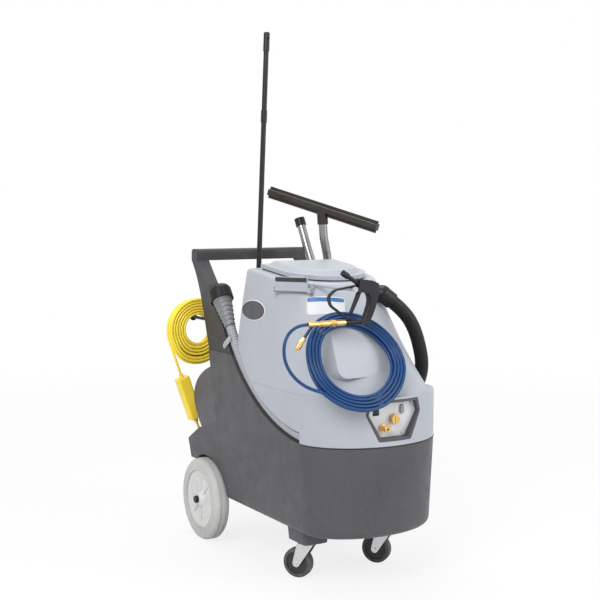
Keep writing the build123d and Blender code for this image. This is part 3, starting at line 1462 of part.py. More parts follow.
report_cord("hose_lead", hose_lead_points, blue_hose_diameter, lead_path.wires()[0], hose_lead)

hose_tail = 45
with BuildPart() as hose_coil:
    with BuildLine() as coil_path:
        Line(hose_meet, coil_start)
        coil_arcs(coil_frame, hose_stations)
        Line(coil_end, coil_end + coil_end_heading * hose_tail)
    with BuildSketch(Plane(origin=hose_meet, z_dir=coil_start_heading)):
        Circle(blue_hose_diameter / 2)
    sweep(path=coil_path.wires()[0])
save(hose_coil, "hose_coil")
print(f"hose_coil: length {coil_path.wires()[0].length:.0f} mm, "
      f"least gap {least_gap(coil_path.wires()[0], blue_hose_diameter):.2f} mm")

end_coupler_plane = Plane(origin=coil_end + coil_end_heading * (hose_tail + seat_gap), z_dir=coil_end_heading)
with BuildPart() as hose_end_coupler:
    with BuildSketch(end_coupler_plane):
        Circle(7)
    extrude(amount=50)
    with BuildSketch(end_coupler_plane.offset(8)):
        RegularPolygon(9, 6)
    extrude(amount=14)
    with BuildSketch(end_coupler_plane.offset(30)):
        Circle(8.5)
    extrude(amount=14)
save(hose_end_coupler, "hose_end_coupler")

# Power cord: wound on its hook at the rear, with an in-line safety switch and a plug
power_coil_radius = 115
power_pitch = 10.4
power_layer = 10.2
power_coil_x = ahead(-140)
power_coil_y, power_coil_z = -222, 780
power_frame = Plane(origin=(power_coil_x, power_coil_y, power_coil_z), x_dir=(0, 1, 0), z_dir=(-1, 0, 0))
power_stations = coil_stations(
    power_coil_radius, power_pitch, -power_layer, math.radians(160), (11, 11, 11, 11), 0
)
power_start, power_start_heading = coil_point(power_frame, power_stations[0])
power_end, power_end_heading = coil_point(power_frame, power_stations[-1])
power_rise = 139
plug_drop = 75
box_top = power_start - power_start_heading * power_rise
with BuildPart() as power_coil:
    with BuildLine() as power_path:
        Line(box_top, power_start)
        coil_arcs(power_frame, power_stations)
        Line(power_end, power_end + power_end_heading * plug_drop)
    with BuildSketch(Plane(origin=box_top, z_dir=power_start_heading)):
        Circle(power_cord_diameter / 2)
    sweep(path=power_path.wires()[0])
save(power_coil, "power_coil")
print(f"power_coil: length {power_path.wires()[0].length:.0f} mm, "
      f"least gap {least_gap(power_path.wires()[0], power_cord_diameter):.2f} mm")

plug_plane = Plane(
    origin=power_end + power_end_heading * (plug_drop + seat_gap), x_dir=(1, 0, 0), z_dir=power_end_heading
)
with BuildPart() as plug:
    with BuildSketch(plug_plane):
        Circle(8)
    with BuildSketch(plug_plane.offset(22)):
        Circle(17)
    loft()
    with BuildSketch(plug_plane.offset(22)):
        Circle(17)
    extrude(amount=28)
    with BuildSketch(plug_plane.offset(50)):
        with Locations((-6.5, 3), (6.5, 3)):
            Rectangle(1.6, 6.5)
        with Locations((0, -6)):
            Circle(2.4)
    extrude(amount=20)
save(plug, "plug")

box_length = 170
box_plane = Plane(
    origin=box_top - power_start_heading * seat_gap, x_dir=(1, 0, 0), z_dir=power_start_heading * -1
)
relief_length = 16
with BuildPart() as gfci_box:
    with BuildSketch(box_plane.offset(relief_length)):
        RectangleRounded(44, 50, 9)
    extrude(amount=box_length)
    fillet(gfci_box.faces().sort_by(Axis.X)[0].edges(), radius=4)
    with BuildSketch(box_plane):
        Circle(8)
    extrude(amount=relief_length + 2)
    with BuildSketch(box_plane.offset(relief_length + box_length - 2)):
        Circle(8)
    extrude(amount=relief_length + 2)
    # Raised test and reset buttons on the outer face
    with BuildSketch(Plane(origin=box_plane.origin + box_plane.z_dir * (relief_length + 60) - box_plane.x_dir * 22,
                           x_dir=box_plane.z_dir, z_dir=(-1, 0, 0))):
        with Locations((0, 0), (34, 0)):
            RectangleRounded(18, 14, 3)
    extrude(amount=3)
save(gfci_box, "gfci_box")

# Gland on the rear cover, and the short cord between it and the safety switch
gland_heading = Vector(-0.6, 0, -0.8)
gland_end = Vector(ahead(-125), -30, 476)
box_bottom = box_top + box_plane.z_dir * (box_length + 2 * relief_length + 2 * seat_gap)
pigtail_points = [
    tuple(box_bottom),
    tuple(box_bottom + box_plane.z_dir * 22),
    (ahead(-143), -198, 381),
    (ahead(-149), -177, 372),
    (ahead(-156), -152, 370),
    (ahead(-161.5), -126, 373),
    (ahead(-164), -100, 381),
    (ahead(-163.5), -76, 396),
    (ahead(-158), -55, 416),
    (ahead(-148.5), -39, 438),
    tuple(gland_end + gland_heading * 20),
    tuple(gland_end),
]
with BuildPart() as pigtail:
    with BuildLine() as pigtail_path:
        FilletPolyline(*pigtail_points, radius=cord_radii(pigtail_points))
    with BuildSketch(Plane(origin=pigtail_points[0], z_dir=box_plane.z_dir)):
        Circle(power_cord_diameter / 2)
    sweep(path=pigtail_path.wires()[0])
save(pigtail, "pigtail")
report_cord("pigtail", pigtail_points, power_cord_diameter, pigtail_path.wires()[0], pigtail)

gland_plane = Plane(origin=gland_end - gland_heading * seat_gap, z_dir=gland_heading * -1)
with BuildPart() as cord_gland:
    with BuildSketch(gland_plane):
        Circle(8)
    extrude(amount=34)
    with BuildSketch(gland_plane.offset(8)):
        RegularPolygon(11, 6)
    extrude(amount=10)
    split(bisect_by=Plane(origin=(ahead(-106), 0, 0), z_dir=(1, 0, 0)), keep=Keep.BOTTOM)
    add(rear_cover.part, mode=Mode.SUBTRACT)
save(cord_gland, "cord_gland")

# Hooks: a bar behind the right upright for the power cord, a peg on the left one for the vacuum hose
bar_radius = 6
bar_z = power_coil_z + min(station[1] for station in power_stations) - 3 - power_cord_diameter / 2 - bar_radius
bar_root = ahead(30)
peg_end = 294
with BuildPart() as cord_hooks:
    for begin, end, radius in ((bar_root, tail_x, bar_radius), (tail_x + 4, tail_x, bar_radius + 8)):
        with BuildSketch(Plane(origin=(begin, power_coil_y, bar_z), z_dir=(-1, 0, 0))):
            Circle(radius)
        extrude(amount=begin - end)
    for begin, end, radius in ((half_width - 20, peg_end, hook_radius), (peg_end - 4, peg_end, hook_radius + 4)):
        with BuildSketch(Plane(origin=(hook_x, begin, hook_z), z_dir=(0, 1, 0))):
            Circle(radius)
        extrude(amount=end - begin)
    add(push_handle.part, mode=Mode.SUBTRACT)
save(cord_hooks, "cord_hooks")
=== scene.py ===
import json
import math

import bmesh
import bpy
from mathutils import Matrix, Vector
from mathutils.bvhtree import BVHTree


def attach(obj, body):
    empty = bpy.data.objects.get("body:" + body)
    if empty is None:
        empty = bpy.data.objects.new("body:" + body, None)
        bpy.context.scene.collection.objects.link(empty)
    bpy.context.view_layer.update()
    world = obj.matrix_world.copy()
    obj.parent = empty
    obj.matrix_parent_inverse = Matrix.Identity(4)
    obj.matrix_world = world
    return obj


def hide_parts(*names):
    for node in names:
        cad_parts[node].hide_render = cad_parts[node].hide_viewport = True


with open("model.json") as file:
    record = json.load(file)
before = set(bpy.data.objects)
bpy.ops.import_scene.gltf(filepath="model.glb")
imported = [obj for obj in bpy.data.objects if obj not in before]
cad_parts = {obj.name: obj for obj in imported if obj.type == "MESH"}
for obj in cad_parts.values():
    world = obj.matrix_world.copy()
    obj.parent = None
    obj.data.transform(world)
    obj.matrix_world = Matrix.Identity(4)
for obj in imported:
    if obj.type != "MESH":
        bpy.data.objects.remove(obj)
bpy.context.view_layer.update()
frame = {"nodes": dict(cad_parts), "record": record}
nodes = frame["nodes"]
slot_of = {part["node"]: part["material_slot"] for part in frame["record"]["subparts"]}

# Routes, screws and the latch's grip are given in mm, as in the part's source, and the rest in metres
MM = 0.001
AXLE_X = -364                # X of the rear axle, in mm
SEAT_GAP = 0.3               # clearance between pieces that sit on each other, in mm


def ahead(distance):
    """X in mm of a point that lies so far in front of the rear axle."""
    return AXLE_X + distance


# Materials
# Noise scales in cells a metre: slow drift of the colour, smears of gloss, specks of dust, grain
MOULDED_DRIFT, MOULDED_SMEAR = 5, 26
SCUFFED_DRIFT, SCUFFED_SMEAR, SCUFFED_SPECKS, SCUFFED_GRAIN = 4, 22, 60, 1100
MOULDED_GLOSS, SCUFFED_GLOSS = (-0.07, 0.08), (-0.06, 0.1)    # how far the roughness goes down and up
SCUFFED_SHADE = 0.14         # how far the colour drifts, as a share of it
SCUFFED_RELIEF = 0.00012     # height of the grain
DUST_LOW, DUST_HIGH = 0.02, 0.55     # heights over the floor between which the dust thins
DUST_MOST, DUST_LEAST = 0.5, 0.04    # shares of dust at those heights
COAT_ROUGHNESS = 0.15

finishes = {}


def material_base(name, colour, roughness, metallic, specular):
    """New material among the finishes, with a plain shader and object coordinates."""
    material = bpy.data.materials.new(name)
    finishes[name] = material
    material.use_nodes = True
    tree = material.node_tree
    shader = tree.nodes["Principled BSDF"]
    shader.inputs["Base Color"].default_value = (*colour, 1)
    shader.inputs["Roughness"].default_value = roughness
    shader.inputs["Metallic"].default_value = metallic
    shader.inputs["Specular IOR Level"].default_value = specular
    place = tree.nodes.new("ShaderNodeTexCoord")
    return tree, shader, place.outputs["Object"]


def add_noise(tree, place, scale, detail, stretch=(1, 1, 1)):
    """Noise value over the surface, at so many cells a metre."""
    mapping = tree.nodes.new("ShaderNodeMapping")
    mapping.inputs["Scale"].default_value = stretch
    tree.links.new(place, mapping.inputs["Vector"])
    noise = tree.nodes.new("ShaderNodeTexNoise")
    noise.inputs["Scale"].default_value = scale
    noise.inputs["Detail"].default_value = detail
    tree.links.new(mapping.outputs["Vector"], noise.inputs["Vector"])
    return noise.outputs["Fac"]


def ranged(tree, value, low, high, start=0.3, end=0.7):
    """Value moved from start..end to low..high."""
    span = tree.nodes.new("ShaderNodeMapRange")
    span.inputs["From Min"].default_value = start
    span.inputs["From Max"].default_value = end
    span.inputs["To Min"].default_value = low
    span.inputs["To Max"].default_value = high
    tree.links.new(value, span.inputs["Value"])
    return span.outputs["Result"]


def mixed(tree, share, first, second):
    """Colour between two others, each a tuple or another node's output."""
    mix = tree.nodes.new("ShaderNodeMix")
    mix.data_type = "RGBA"
    for socket, colour in (("A", first), ("B", second)):
        if isinstance(colour, tuple):
            mix.inputs[socket].default_value = (*colour, 1)
        else:
            tree.links.new(colour, mix.inputs[socket])
    tree.links.new(share, mix.inputs["Factor"])
    return mix.outputs["Result"]


def drifting(tree, place, colour, shade, scale):
    """Colour that grows slowly darker and lighter over the surface."""
    darker = tuple(channel * (1 - shade) for channel in colour)
    lighter = tuple(min(1, channel * (1 + shade)) for channel in colour)
    drift = add_noise(tree, place, scale, detail=5)
    return mixed(tree, ranged(tree, drift, low=0, high=1), darker, lighter)


def smeared(tree, shader, place, roughness, gloss, scale, stretch=(1, 1, 1)):
    """Uneven gloss over the surface."""
    smear = add_noise(tree, place, scale, detail=6, stretch=stretch)
    uneven = ranged(tree, smear, low=roughness + gloss[0], high=roughness + gloss[1])
    tree.links.new(uneven, shader.inputs["Roughness"])


def bumped(tree, shader, height, distance, strength):
    """Small relief on the surface."""
    bump = tree.nodes.new("ShaderNodeBump")
    bump.inputs["Distance"].default_value = distance
    bump.inputs["Strength"].default_value = strength
    tree.links.new(height, bump.inputs["Height"])
    tree.links.new(bump.outputs["Normal"], shader.inputs["Normal"])


def moulded(name, colour, roughness, shade=0.12, grain=1400, relief=0.00008, metallic=0.0,
            stretch=(1, 1, 1), coat=0.0, specular=0.5):
    """Moulded, painted or drawn surface: slow colour drift, uneven gloss and a fine grain."""
    tree, shader, place = material_base(name, colour, roughness, metallic, specular)
    tint = drifting(tree, place, colour, shade, MOULDED_DRIFT)
    tree.links.new(tint, shader.inputs["Base Color"])
    smeared(tree, shader, place, roughness, MOULDED_GLOSS, MOULDED_SMEAR, stretch)
    bumped(tree, shader, add_noise(tree, place, grain, detail=3, stretch=stretch), relief, strength=0.5)
    shader.inputs["Coat Weight"].default_value = coat
    shader.inputs["Coat Roughness"].default_value = COAT_ROUGHNESS


def scuffed(name, colour, dust, roughness, specular=0.5):
    """Plastic or rubber with scuffs and dust that thicken towards the floor."""
    tree, shader, place = material_base(name, colour, roughness, 0, specular)
    tint = drifting(tree, place, colour, SCUFFED_SHADE, SCUFFED_DRIFT)
    split = tree.nodes.new("ShaderNodeSeparateXYZ")
    tree.links.new(place, split.inputs["Vector"])
    low = ranged(tree, split.outputs["Z"], DUST_MOST, DUST_LEAST, start=DUST_LOW, end=DUST_HIGH)
    specks = ranged(tree, add_noise(tree, place, SCUFFED_SPECKS, detail=8), 0, 1, start=0.52, end=0.78)
    share = tree.nodes.new("ShaderNodeMath")
    share.operation = "MULTIPLY"
    tree.links.new(low, share.inputs[0])
    tree.links.new(specks, share.inputs[1])
    tree.links.new(mixed(tree, share.outputs["Value"], tint, dust), shader.inputs["Base Color"])
    smeared(tree, shader, place, roughness, SCUFFED_GLOSS, SCUFFED_SMEAR)
    bumped(tree, shader, add_noise(tree, place, SCUFFED_GRAIN, detail=3), SCUFFED_RELIEF, strength=0.6)


# Finishes with the names of the record's material slots
scuffed("base_plastic", (0.060, 0.060, 0.066), dust=(0.105, 0.104, 0.103), roughness=0.46)
scuffed("caster_rubber", (0.055, 0.055, 0.055), dust=(0.26, 0.25, 0.23), roughness=0.6)
scuffed("grey_tyre", (0.50, 0.50, 0.49), dust=(0.30, 0.29, 0.27), roughness=0.62)
moulded("tank_plastic", (0.385, 0.410, 0.455), roughness=0.40, shade=0.04, grain=900)
moulded("panel_white", (0.66, 0.67, 0.68), roughness=0.34, shade=0.03)
moulded("black_plastic", (0.012, 0.012, 0.014), roughness=0.38, shade=0.2, specular=0.25)
moulded("black_rubber", (0.014, 0.014, 0.015), roughness=0.62, shade=0.25, grain=700)
moulded("wheel_white", (0.62, 0.63, 0.62), roughness=0.36, shade=0.05)
moulded("button_grey", (0.26, 0.27, 0.29), roughness=0.38)
moulded("drain_grey", (0.34, 0.355, 0.385), roughness=0.34, shade=0.08, grain=600)
moulded("black_hose", (0.009, 0.009, 0.010), roughness=0.46, shade=0.3, grain=500, relief=0.0002,
        specular=0.25)
moulded("blue_hose", (0.005, 0.045, 0.155), roughness=0.36, shade=0.18, grain=800, coat=0.08, specular=0.3)
moulded("yellow_cord", (0.95, 0.72, 0.055), roughness=0.42, shade=0.1, grain=800)
moulded("yellow_plastic", (0.95, 0.71, 0.055), roughness=0.36, shade=0.08)
moulded("steel", (0.56, 0.57, 0.58), roughness=0.30, metallic=1, grain=900, stretch=(1, 1, 8))
moulded("black_steel", (0.012, 0.012, 0.014), roughness=0.34, shade=0.2, coat=0.08, specular=0.25)
moulded("chrome", (0.27, 0.275, 0.28), roughness=0.26, shade=0.05, metallic=1, grain=500, relief=0.00003)
moulded("dark_aluminium", (0.055, 0.049, 0.044), roughness=0.36, metallic=0.9, stretch=(1, 1, 14))
moulded("brass", (0.68, 0.45, 0.17), roughness=0.26, shade=0.14, metallic=1, grain=700)

# Finishes of single pieces
scuffed("handle_plastic", (0.034, 0.035, 0.038), dust=(0.10, 0.098, 0.09), roughness=0.44, specular=0.35)
scuffed("cover_plastic", (0.078, 0.075, 0.088), dust=(0.16, 0.155, 0.15), roughness=0.46)
moulded("hub_dark", (0.028, 0.028, 0.03), roughness=0.42, shade=0.15, specular=0.35)
moulded("cuff_plastic", (0.19, 0.197, 0.21), roughness=0.36, shade=0.1, grain=600)
moulded("label_blue", (0.04, 0.15, 0.40), roughness=0.35, shade=0.05)
moulded("badge_dark", (0.02, 0.022, 0.026), roughness=0.3, shade=0.1, coat=0.3)
own_finish = {
    "push_handle": "handle_plastic",
    "drain_cuff": "cuff_plastic",
    "lid_latch": "tank_plastic",
    "rear_cover": "cover_plastic",
    "caster_hub_right": "hub_dark",
    "caster_hub_left": "hub_dark",
}
for node, piece in nodes.items():
    piece.data.materials.clear()
    piece.data.materials.append(finishes[own_finish.get(node, slot_of[node])])


# Pieces and cords
CORD_RESOLUTION, CORD_BEVEL = 6, 5   # smoothness along a cord and round its section
CORD_ORDER = 3


def add_piece(name, points, faces, finish, body, smooth=True):
    """New mesh piece that rides on a body, with a finish."""
    mesh = bpy.data.meshes.new(name)
    mesh.from_pydata(points, [], faces)
    mesh.update()
    piece = bpy.data.objects.new(name, mesh)
    bpy.context.scene.collection.objects.link(piece)
    mesh.materials.append(finishes[finish])
    for face in mesh.polygons:
        face.use_smooth = smooth
    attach(piece, body)
    return piece


def ring_faces(rings, count, flipped=False):
    """Faces between each ring of so many points and the next one."""
    faces = []
    for ring in range(rings - 1):
        first = ring * count
        second = first + count
        for column in range(count):
            after = (column + 1) % count
            if flipped:
                faces.append((first + column, first + after, second + after, second + column))
            else:
                faces.append((first + column, second + column, second + after, first + after))
    return faces


def add_cord(name, route, diameter, finish):
    """One smooth tube whose control points are the route's points, given in mm."""
    curve = bpy.data.curves.new(name, "CURVE")
    curve.dimensions = "3D"
    curve.resolution_u = CORD_RESOLUTION
    curve.bevel_depth = diameter * MM / 2
    curve.bevel_resolution = CORD_BEVEL
    curve.use_fill_caps = True
    spline = curve.splines.new("NURBS")
    spline.points.add(len(route) - 1)
    for point, place in zip(spline.points, route):
        point.co = (*(Vector(place) * MM), 1)
    spline.order_u = CORD_ORDER
    spline.use_endpoint_u = True
    spline.use_smooth = True
    curve.materials.append(finishes[finish])
    piece = bpy.data.objects.new(name, curve)
    bpy.context.scene.collection.objects.link(piece)
    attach(piece, "machine")
    return piece


def eased(share):
    """Smooth step from 0 to 1."""
    share = min(1, max(0, share))
    return share * share * (3 - 2 * share)


class Coil:
    """Coil that winds in and out in layers, drawn in its own plane, in mm.

    Its turns lie a pitch apart, and its layers lie apart by layer, along the normal. Loose turns fan out
    by the share spread, sag by drop, wander in and out by wander, and swing sideways and up by swing.
    """

    steps = 20               # control points in each half turn
    first_sense = -1         # the first layer winds inwards
    slack_from = 0.36        # sine of the angle below the middle where loose turns begin to sag
    swing_from = 0.2         # sine of the angle above the middle where they begin to swing aside
    wander_rate = 0.37       # waves of the loose cord in each turn

    def __init__(self, origin, normal, radius, pitch, layer, start, half_turns, last_turn,
                 spread=0, drop=0, wander=0, swing=(0, 0)):
        self.spread = spread
        self.drop = drop
        self.wander = wander
        self.origin = Vector(origin)
        self.normal = Vector(normal).normalized()
        self.right = Vector((0, 1, 0))
        self.up = self.normal.cross(self.right)
        self.swing = self.right * swing[0] + self.up * swing[1]
        self.rate = pitch / (2 * math.pi)
        self.stations = [(start, radius, 0)]
        sense = self.first_sense
        for turn, count in enumerate(half_turns):
            if turn:
                sense = -sense
                self.wind(math.pi, 0, layer)
            for _ in range(count):
                self.wind(math.pi, sense * pitch / 2, 0)
        radii = [station[1] for station in self.stations]
        self.middle = (max(radii) + min(radii)) / 2
        self.last_sense = sense
        if last_turn:
            self.wind(last_turn, sense * self.rate * last_turn, 0)

    def wind(self, turn, growth, climb):
        """Go on by part of a turn, in evenly spaced points."""
        angle, radius, height = self.stations[-1]
        count = max(2, round(self.steps * turn / math.pi))
        for step in range(1, count + 1):
            share = step / count
            station = (angle + turn * share, radius + growth * share, height + climb * eased(share))
            self.stations.append(station)

    def place(self, station):
        """Point of the coil."""
        angle, radius, height = station
        across = self.right * math.cos(angle) + self.up * math.sin(angle)
        # Turns hang tight on the hook. Below it they fan out, sag, wander a little and swing aside.
        depth = -across.z / abs(self.up.z)
        low = eased((depth - self.slack_from) / (1 - self.slack_from))
        fan = (radius - self.middle) * self.spread
        wander = self.wander * math.sin(angle * self.wander_rate)
        aside = self.swing * eased((depth + self.swing_from) / (1 + self.swing_from))
        reach = radius + (fan + self.drop + wander) * low
        return self.origin + across * reach + self.normal * height + aside

    def heading(self, station, sense):
        """Direction in which the coil runs."""
        angle, radius, _ = station
        across = self.right * math.cos(angle) + self.up * math.sin(angle)
        along = self.up * math.cos(angle) - self.right * math.sin(angle)
        return (across * sense * self.rate + along * radius).normalized()

    def points(self):
        """Every point of the coil."""
        return [self.place(station) for station in self.stations]

    def begin(self):
        """First point and its heading."""
        return self.place(self.stations[0]), self.heading(self.stations[0], self.first_sense)

    def end(self):
        """Last point and its heading."""
        return self.place(self.stations[-1]), self.heading(self.stations[-1], self.last_sense)


# Vacuum hose, from the elbow on the tank down the left side and up over its peg
VAC_HOSE = 48
VAC_Y = 277
VAC_RUN = 60                 # straight run out of the elbow
INLET_PLACE = (ahead(606), 107, 950)
INLET_STEM, INLET_REACH = 26, 42     # lengths of the elbow's two arms
PEG_Z, PEG_RADIUS, PEG_GAP = 836, 10, 1.5
HANG_X = ahead(82)           # middle of the bend that hangs on the peg
HANG_RISE = 2.7              # top of that bend, over the height at which the hose lies on the peg
HANG_RADIUS, HANG_CORNERS = 194, 8
inlet_normal = Vector((0.863, 0.505, 0))
inlet_heading = Vector((0.15, 0.78, -0.607)).normalized()
vac_start = Vector(INLET_PLACE) + inlet_normal * INLET_STEM + inlet_heading * INLET_REACH
peg_crest = PEG_Z + PEG_RADIUS + VAC_HOSE / 2 + PEG_GAP
corner_turn = math.pi / HANG_CORNERS
corner_radius = HANG_RADIUS / math.cos(corner_turn / 2)
hang_points = []
for corner in range(HANG_CORNERS):
    angle = corner_turn * (corner + 0.5)
    hang_points.append((
        HANG_X + corner_radius * math.cos(angle),
        VAC_Y,
        peg_crest + HANG_RISE - HANG_RADIUS + corner_radius * math.sin(angle),
    ))
vac_route = [
    vac_start,
    vac_start + inlet_heading * VAC_RUN,
    (ahead(650), 238, 830),
    (ahead(652), 261, 762),
    (ahead(650), 275, 696),
    (ahead(622), 278, 629),
    (ahead(570), 278, 577),
    (ahead(501), 277.5, 549),
    (ahead(427), VAC_Y, 549),
    (ahead(358), VAC_Y, 577.5),
    (ahead(305), VAC_Y, 630),
    (ahead(277), VAC_Y, 692),
    *hang_points,
    (ahead(-113), VAC_Y, 668),
    (ahead(-110), VAC_Y, 590),
]
vac_hose = add_cord("vacuum_hose", vac_route, VAC_HOSE, "black_hose")
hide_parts("vac_hose")

# Solution hose, from the gun's coupler in a loop to the coil on the hanger
BLUE_HOSE = 10.5
GUN_X = ahead(802)
HOSE_TAIL = 45
CORD_RUN = 22                # straight run of a cord into its coil or its box
solution_coil = Coil(
    origin=(ahead(830.5), -112, 756.4),
    normal=(0.835, 0, 0.55),
    radius=180,
    pitch=11.6,
    layer=-11.3,
    start=math.radians(225),
    half_turns=(8, 8),
    last_turn=math.radians(90),
    swing=(-15, 12),
)
coil_start, coil_heading = solution_coil.begin()
coil_end, coil_end_heading = solution_coil.end()
hose_meet = coil_start - coil_heading * BLUE_HOSE
lead_start = Vector((GUN_X, -280.6, 880))
solution_route = [
    lead_start,
    (GUN_X, -305, 879),
    (ahead(803), -329, 871),
    (ahead(804), -349.2, 856.4),
    (ahead(805.9), -363.4, 833.7),
    (ahead(808.9), -369.6, 806.1),
    (ahead(813.8), -368.9, 776.5),
    (ahead(820.8), -360.1, 747.8),
    (ahead(831.7), -345.3, 722.2),
    (ahead(845.7), -325.5, 701.6),
    (ahead(860.7), -303.7, 687.9),
    (ahead(874.6), -281.9, 680.3),
    hose_meet - coil_heading * CORD_RUN,
    hose_meet,
    *solution_coil.points(),
    coil_end + coil_end_heading * HOSE_TAIL / 2,
    coil_end + coil_end_heading * HOSE_TAIL,
]
solution_hose = add_cord("solution_hose", solution_route, BLUE_HOSE, "blue_hose")
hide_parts("hose_lead", "hose_coil")

# Power cord, from the safety switch up to the coil on its hook and down to the plug
POWER_CORD = 9.5
POWER_RISE, PLUG_DROP = 139, 75
RISE_SHARES = (0, 0.35, 0.7)         # points on the way up from the switch to the coil
power_winding = Coil(
    origin=(ahead(-140), -222, 780),
    normal=(-1, 0, 0),
    radius=115,
    pitch=10.4,
    layer=-10.2,
    start=math.radians(160),
    half_turns=(11, 11, 11, 11),
    last_turn=0,
    spread=0.28,
    drop=9,
    wander=1.6,
)
wind_start, wind_heading = power_winding.begin()
wind_end, wind_end_heading = power_winding.end()
box_top = wind_start - wind_heading * POWER_RISE
power_route = [
    *(box_top + wind_heading * POWER_RISE * share for share in RISE_SHARES),
    *power_winding.points(),
    wind_end + wind_end_heading * PLUG_DROP / 2,
    wind_end + wind_end_heading * PLUG_DROP,
]
power_cord = add_cord("power_cord", power_route, POWER_CORD, "yellow_cord")
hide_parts("power_coil")

# Short lead of the power cord, from the gland on the machine to the safety switch
BOX_LENGTH, RELIEF = 170, 16
GLAND_RUN = 20
gland_heading = Vector((-0.6, 0, -0.8))
gland_end = Vector((ahead(-125), -30, 476))
box_bottom = box_top - wind_heading * (BOX_LENGTH + 2 * RELIEF + 3 * SEAT_GAP)
pigtail_route = [
    gland_end,
    gland_end + gland_heading * GLAND_RUN,
    (ahead(-148.5), -39, 438),
    (ahead(-158), -55, 416),
    (ahead(-163.5), -76, 396),
    (ahead(-164), -100, 381),
    (ahead(-161.5), -126, 373),
    (ahead(-156), -152, 370),
    (ahead(-149), -177, 372),
    (ahead(-143), -198, 381),
    box_bottom - wind_heading * CORD_RUN,
    box_bottom,
]
pigtail = add_cord("power_lead", pigtail_route, POWER_CORD, "yellow_cord")
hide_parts("pigtail")

# Plain label and plain badge, laid on the tank's wall
PATCH_START = 0.012          # distance off the wall where rays to it start, short of the pegs and lugs
PATCH_RAY = 0.2
PATCH_THICKNESS = 0.0012
PATCH_RINGS, PATCH_SEGMENTS = 10, 48
UNDER, OVER = 0.0004, 0.0010         # how far the lower and the upper plate of a pair lie off the wall
OVAL, SQUARE = 2, 8                  # powers of the outline: a larger one squares the corners
tank_mesh = bmesh.new()
tank_mesh.from_mesh(nodes["recovery_tank"].data)
tank_wall = BVHTree.FromBMesh(tank_mesh)
tank_mesh.free()


def squared(value, power):
    """Cosine or sine moved out towards a square, which makes a circle a superellipse."""
    return math.copysign(abs(value) ** (2 / power), value)


def wall_patch(name, centre, normal, width, height, power, finish, lift, up=0):
    """Thin plate with rounded corners that follows the tank's wall."""
    normal = Vector(normal).normalized()
    across = Vector((0, 0, 1)).cross(normal).normalized()
    upward = normal.cross(across)
    centre = Vector(centre) + upward * up
    points = []
    for ring in range(PATCH_RINGS + 1):
        share = ring / PATCH_RINGS
        for segment in range(PATCH_SEGMENTS):
            angle = 2 * math.pi * segment / PATCH_SEGMENTS
            sideways = across * squared(math.cos(angle), power) * share * width / 2
            upwards = upward * squared(math.sin(angle), power) * share * height / 2
            target = centre + sideways + upwards
            hit = tank_wall.ray_cast(target + normal * PATCH_START, -normal, PATCH_RAY)
            place = hit[0] if hit[0] else target
            points.append(place + normal * lift)
    faces = ring_faces(PATCH_RINGS + 1, PATCH_SEGMENTS)
    piece = add_piece(name, points, faces, finish, "machine")
    thick = piece.modifiers.new("thickness", "SOLIDIFY")
    thick.thickness = PATCH_THICKNESS
    thick.offset = 0


BADGE_PLACE, BADGE_NORMAL = (-0.044, -0.213, 0.885), (0, -0.988, 0.156)
wall_patch("badge_rim", BADGE_PLACE, BADGE_NORMAL, width=0.170, height=0.074, power=OVAL,
           finish="panel_white", lift=UNDER)
wall_patch("badge_face", BADGE_PLACE, BADGE_NORMAL, width=0.160, height=0.066, power=OVAL,
           finish="badge_dark", lift=OVER)
LABEL_PLACE, LABEL_NORMAL = (0.257, -0.102, 0.919), (0.755, -0.438, 0.488)
wall_patch("label_plate", LABEL_PLACE, LABEL_NORMAL, width=0.130, height=0.066, power=SQUARE,
           finish="panel_white", lift=UNDER)
wall_patch("label_band", LABEL_PLACE, LABEL_NORMAL, width=0.122, height=0.015, power=SQUARE,
           finish="label_blue", lift=OVER, up=0.022)

# Dark strip in the seam between tank and base, round the front: painted shadow that stands in for the shade
# in the seam's gap
SEAM_CENTRE_X, SEAM_Z = 0.25, 0.4825
SEAM_REACH = 71              # degrees to each side
SEAM_STEPS = 96
SEAM_RAY = 0.5               # distance from the centre where rays to the tank's wall start
WALL_RISE = 0.002            # height over the seam at which they meet it
# Rise and depth of each corner of the painted shadow strip's section, in mm
SEAM_PROFILE = ((-2.6, -0.6), (-2.2, 0.5), (-1.0, 1.0), (1.0, 1.0), (2.2, 0.5), (2.6, -0.6))
seam_corners = len(SEAM_PROFILE)
seam_points = []
for step in range(SEAM_STEPS + 1):
    turn = math.radians(SEAM_REACH * (2 * step / SEAM_STEPS - 1))
    outward = Vector((math.cos(turn), math.sin(turn), 0))
    begin = Vector((SEAM_CENTRE_X, 0, SEAM_Z + WALL_RISE)) + outward * SEAM_RAY
    wall = tank_wall.ray_cast(begin, -outward, SEAM_RAY)[0]
    for rise, depth in SEAM_PROFILE:
        seam_points.append(Vector((wall.x, wall.y, SEAM_Z + rise * MM)) + outward * depth * MM)
seam_faces = ring_faces(SEAM_STEPS + 1, seam_corners)
seam_faces.append(tuple(range(seam_corners)))
seam_faces.append(tuple(range((SEAM_STEPS + 1) * seam_corners - 1, SEAM_STEPS * seam_corners - 1, -1)))
# Painted shadow: a dark bead laid where the seam's gap lies in shade
add_piece("tank_seam_painted_shadow", seam_points, seam_faces, "black_rubber", "machine",
          smooth=False)

# Ribbed grip along the upper edge of the lid's latch, on the plane of its outer face
LATCH_CENTRE_X = ahead(433)
LATCH_BOW = (184, 200)       # half axes of the oval that the latch's hinge lies on
LATCH_TURN = math.radians(59.6)
LATCH_HINGE_Z = 968
LATCH_FACE_OUT = 15.5
GRIP_LENGTH, GRIP_RIBS = 118, 26
GRIP_LOW, GRIP_HIGH = 27, 42         # heights over the hinge
RIB_COLUMNS = 8              # columns of points in each rib
RIB_VALLEY, RIB_RISE = 0.9, 0.7
GRIP_SUNK = -0.4             # depth of the grip's two ends, inside the flap
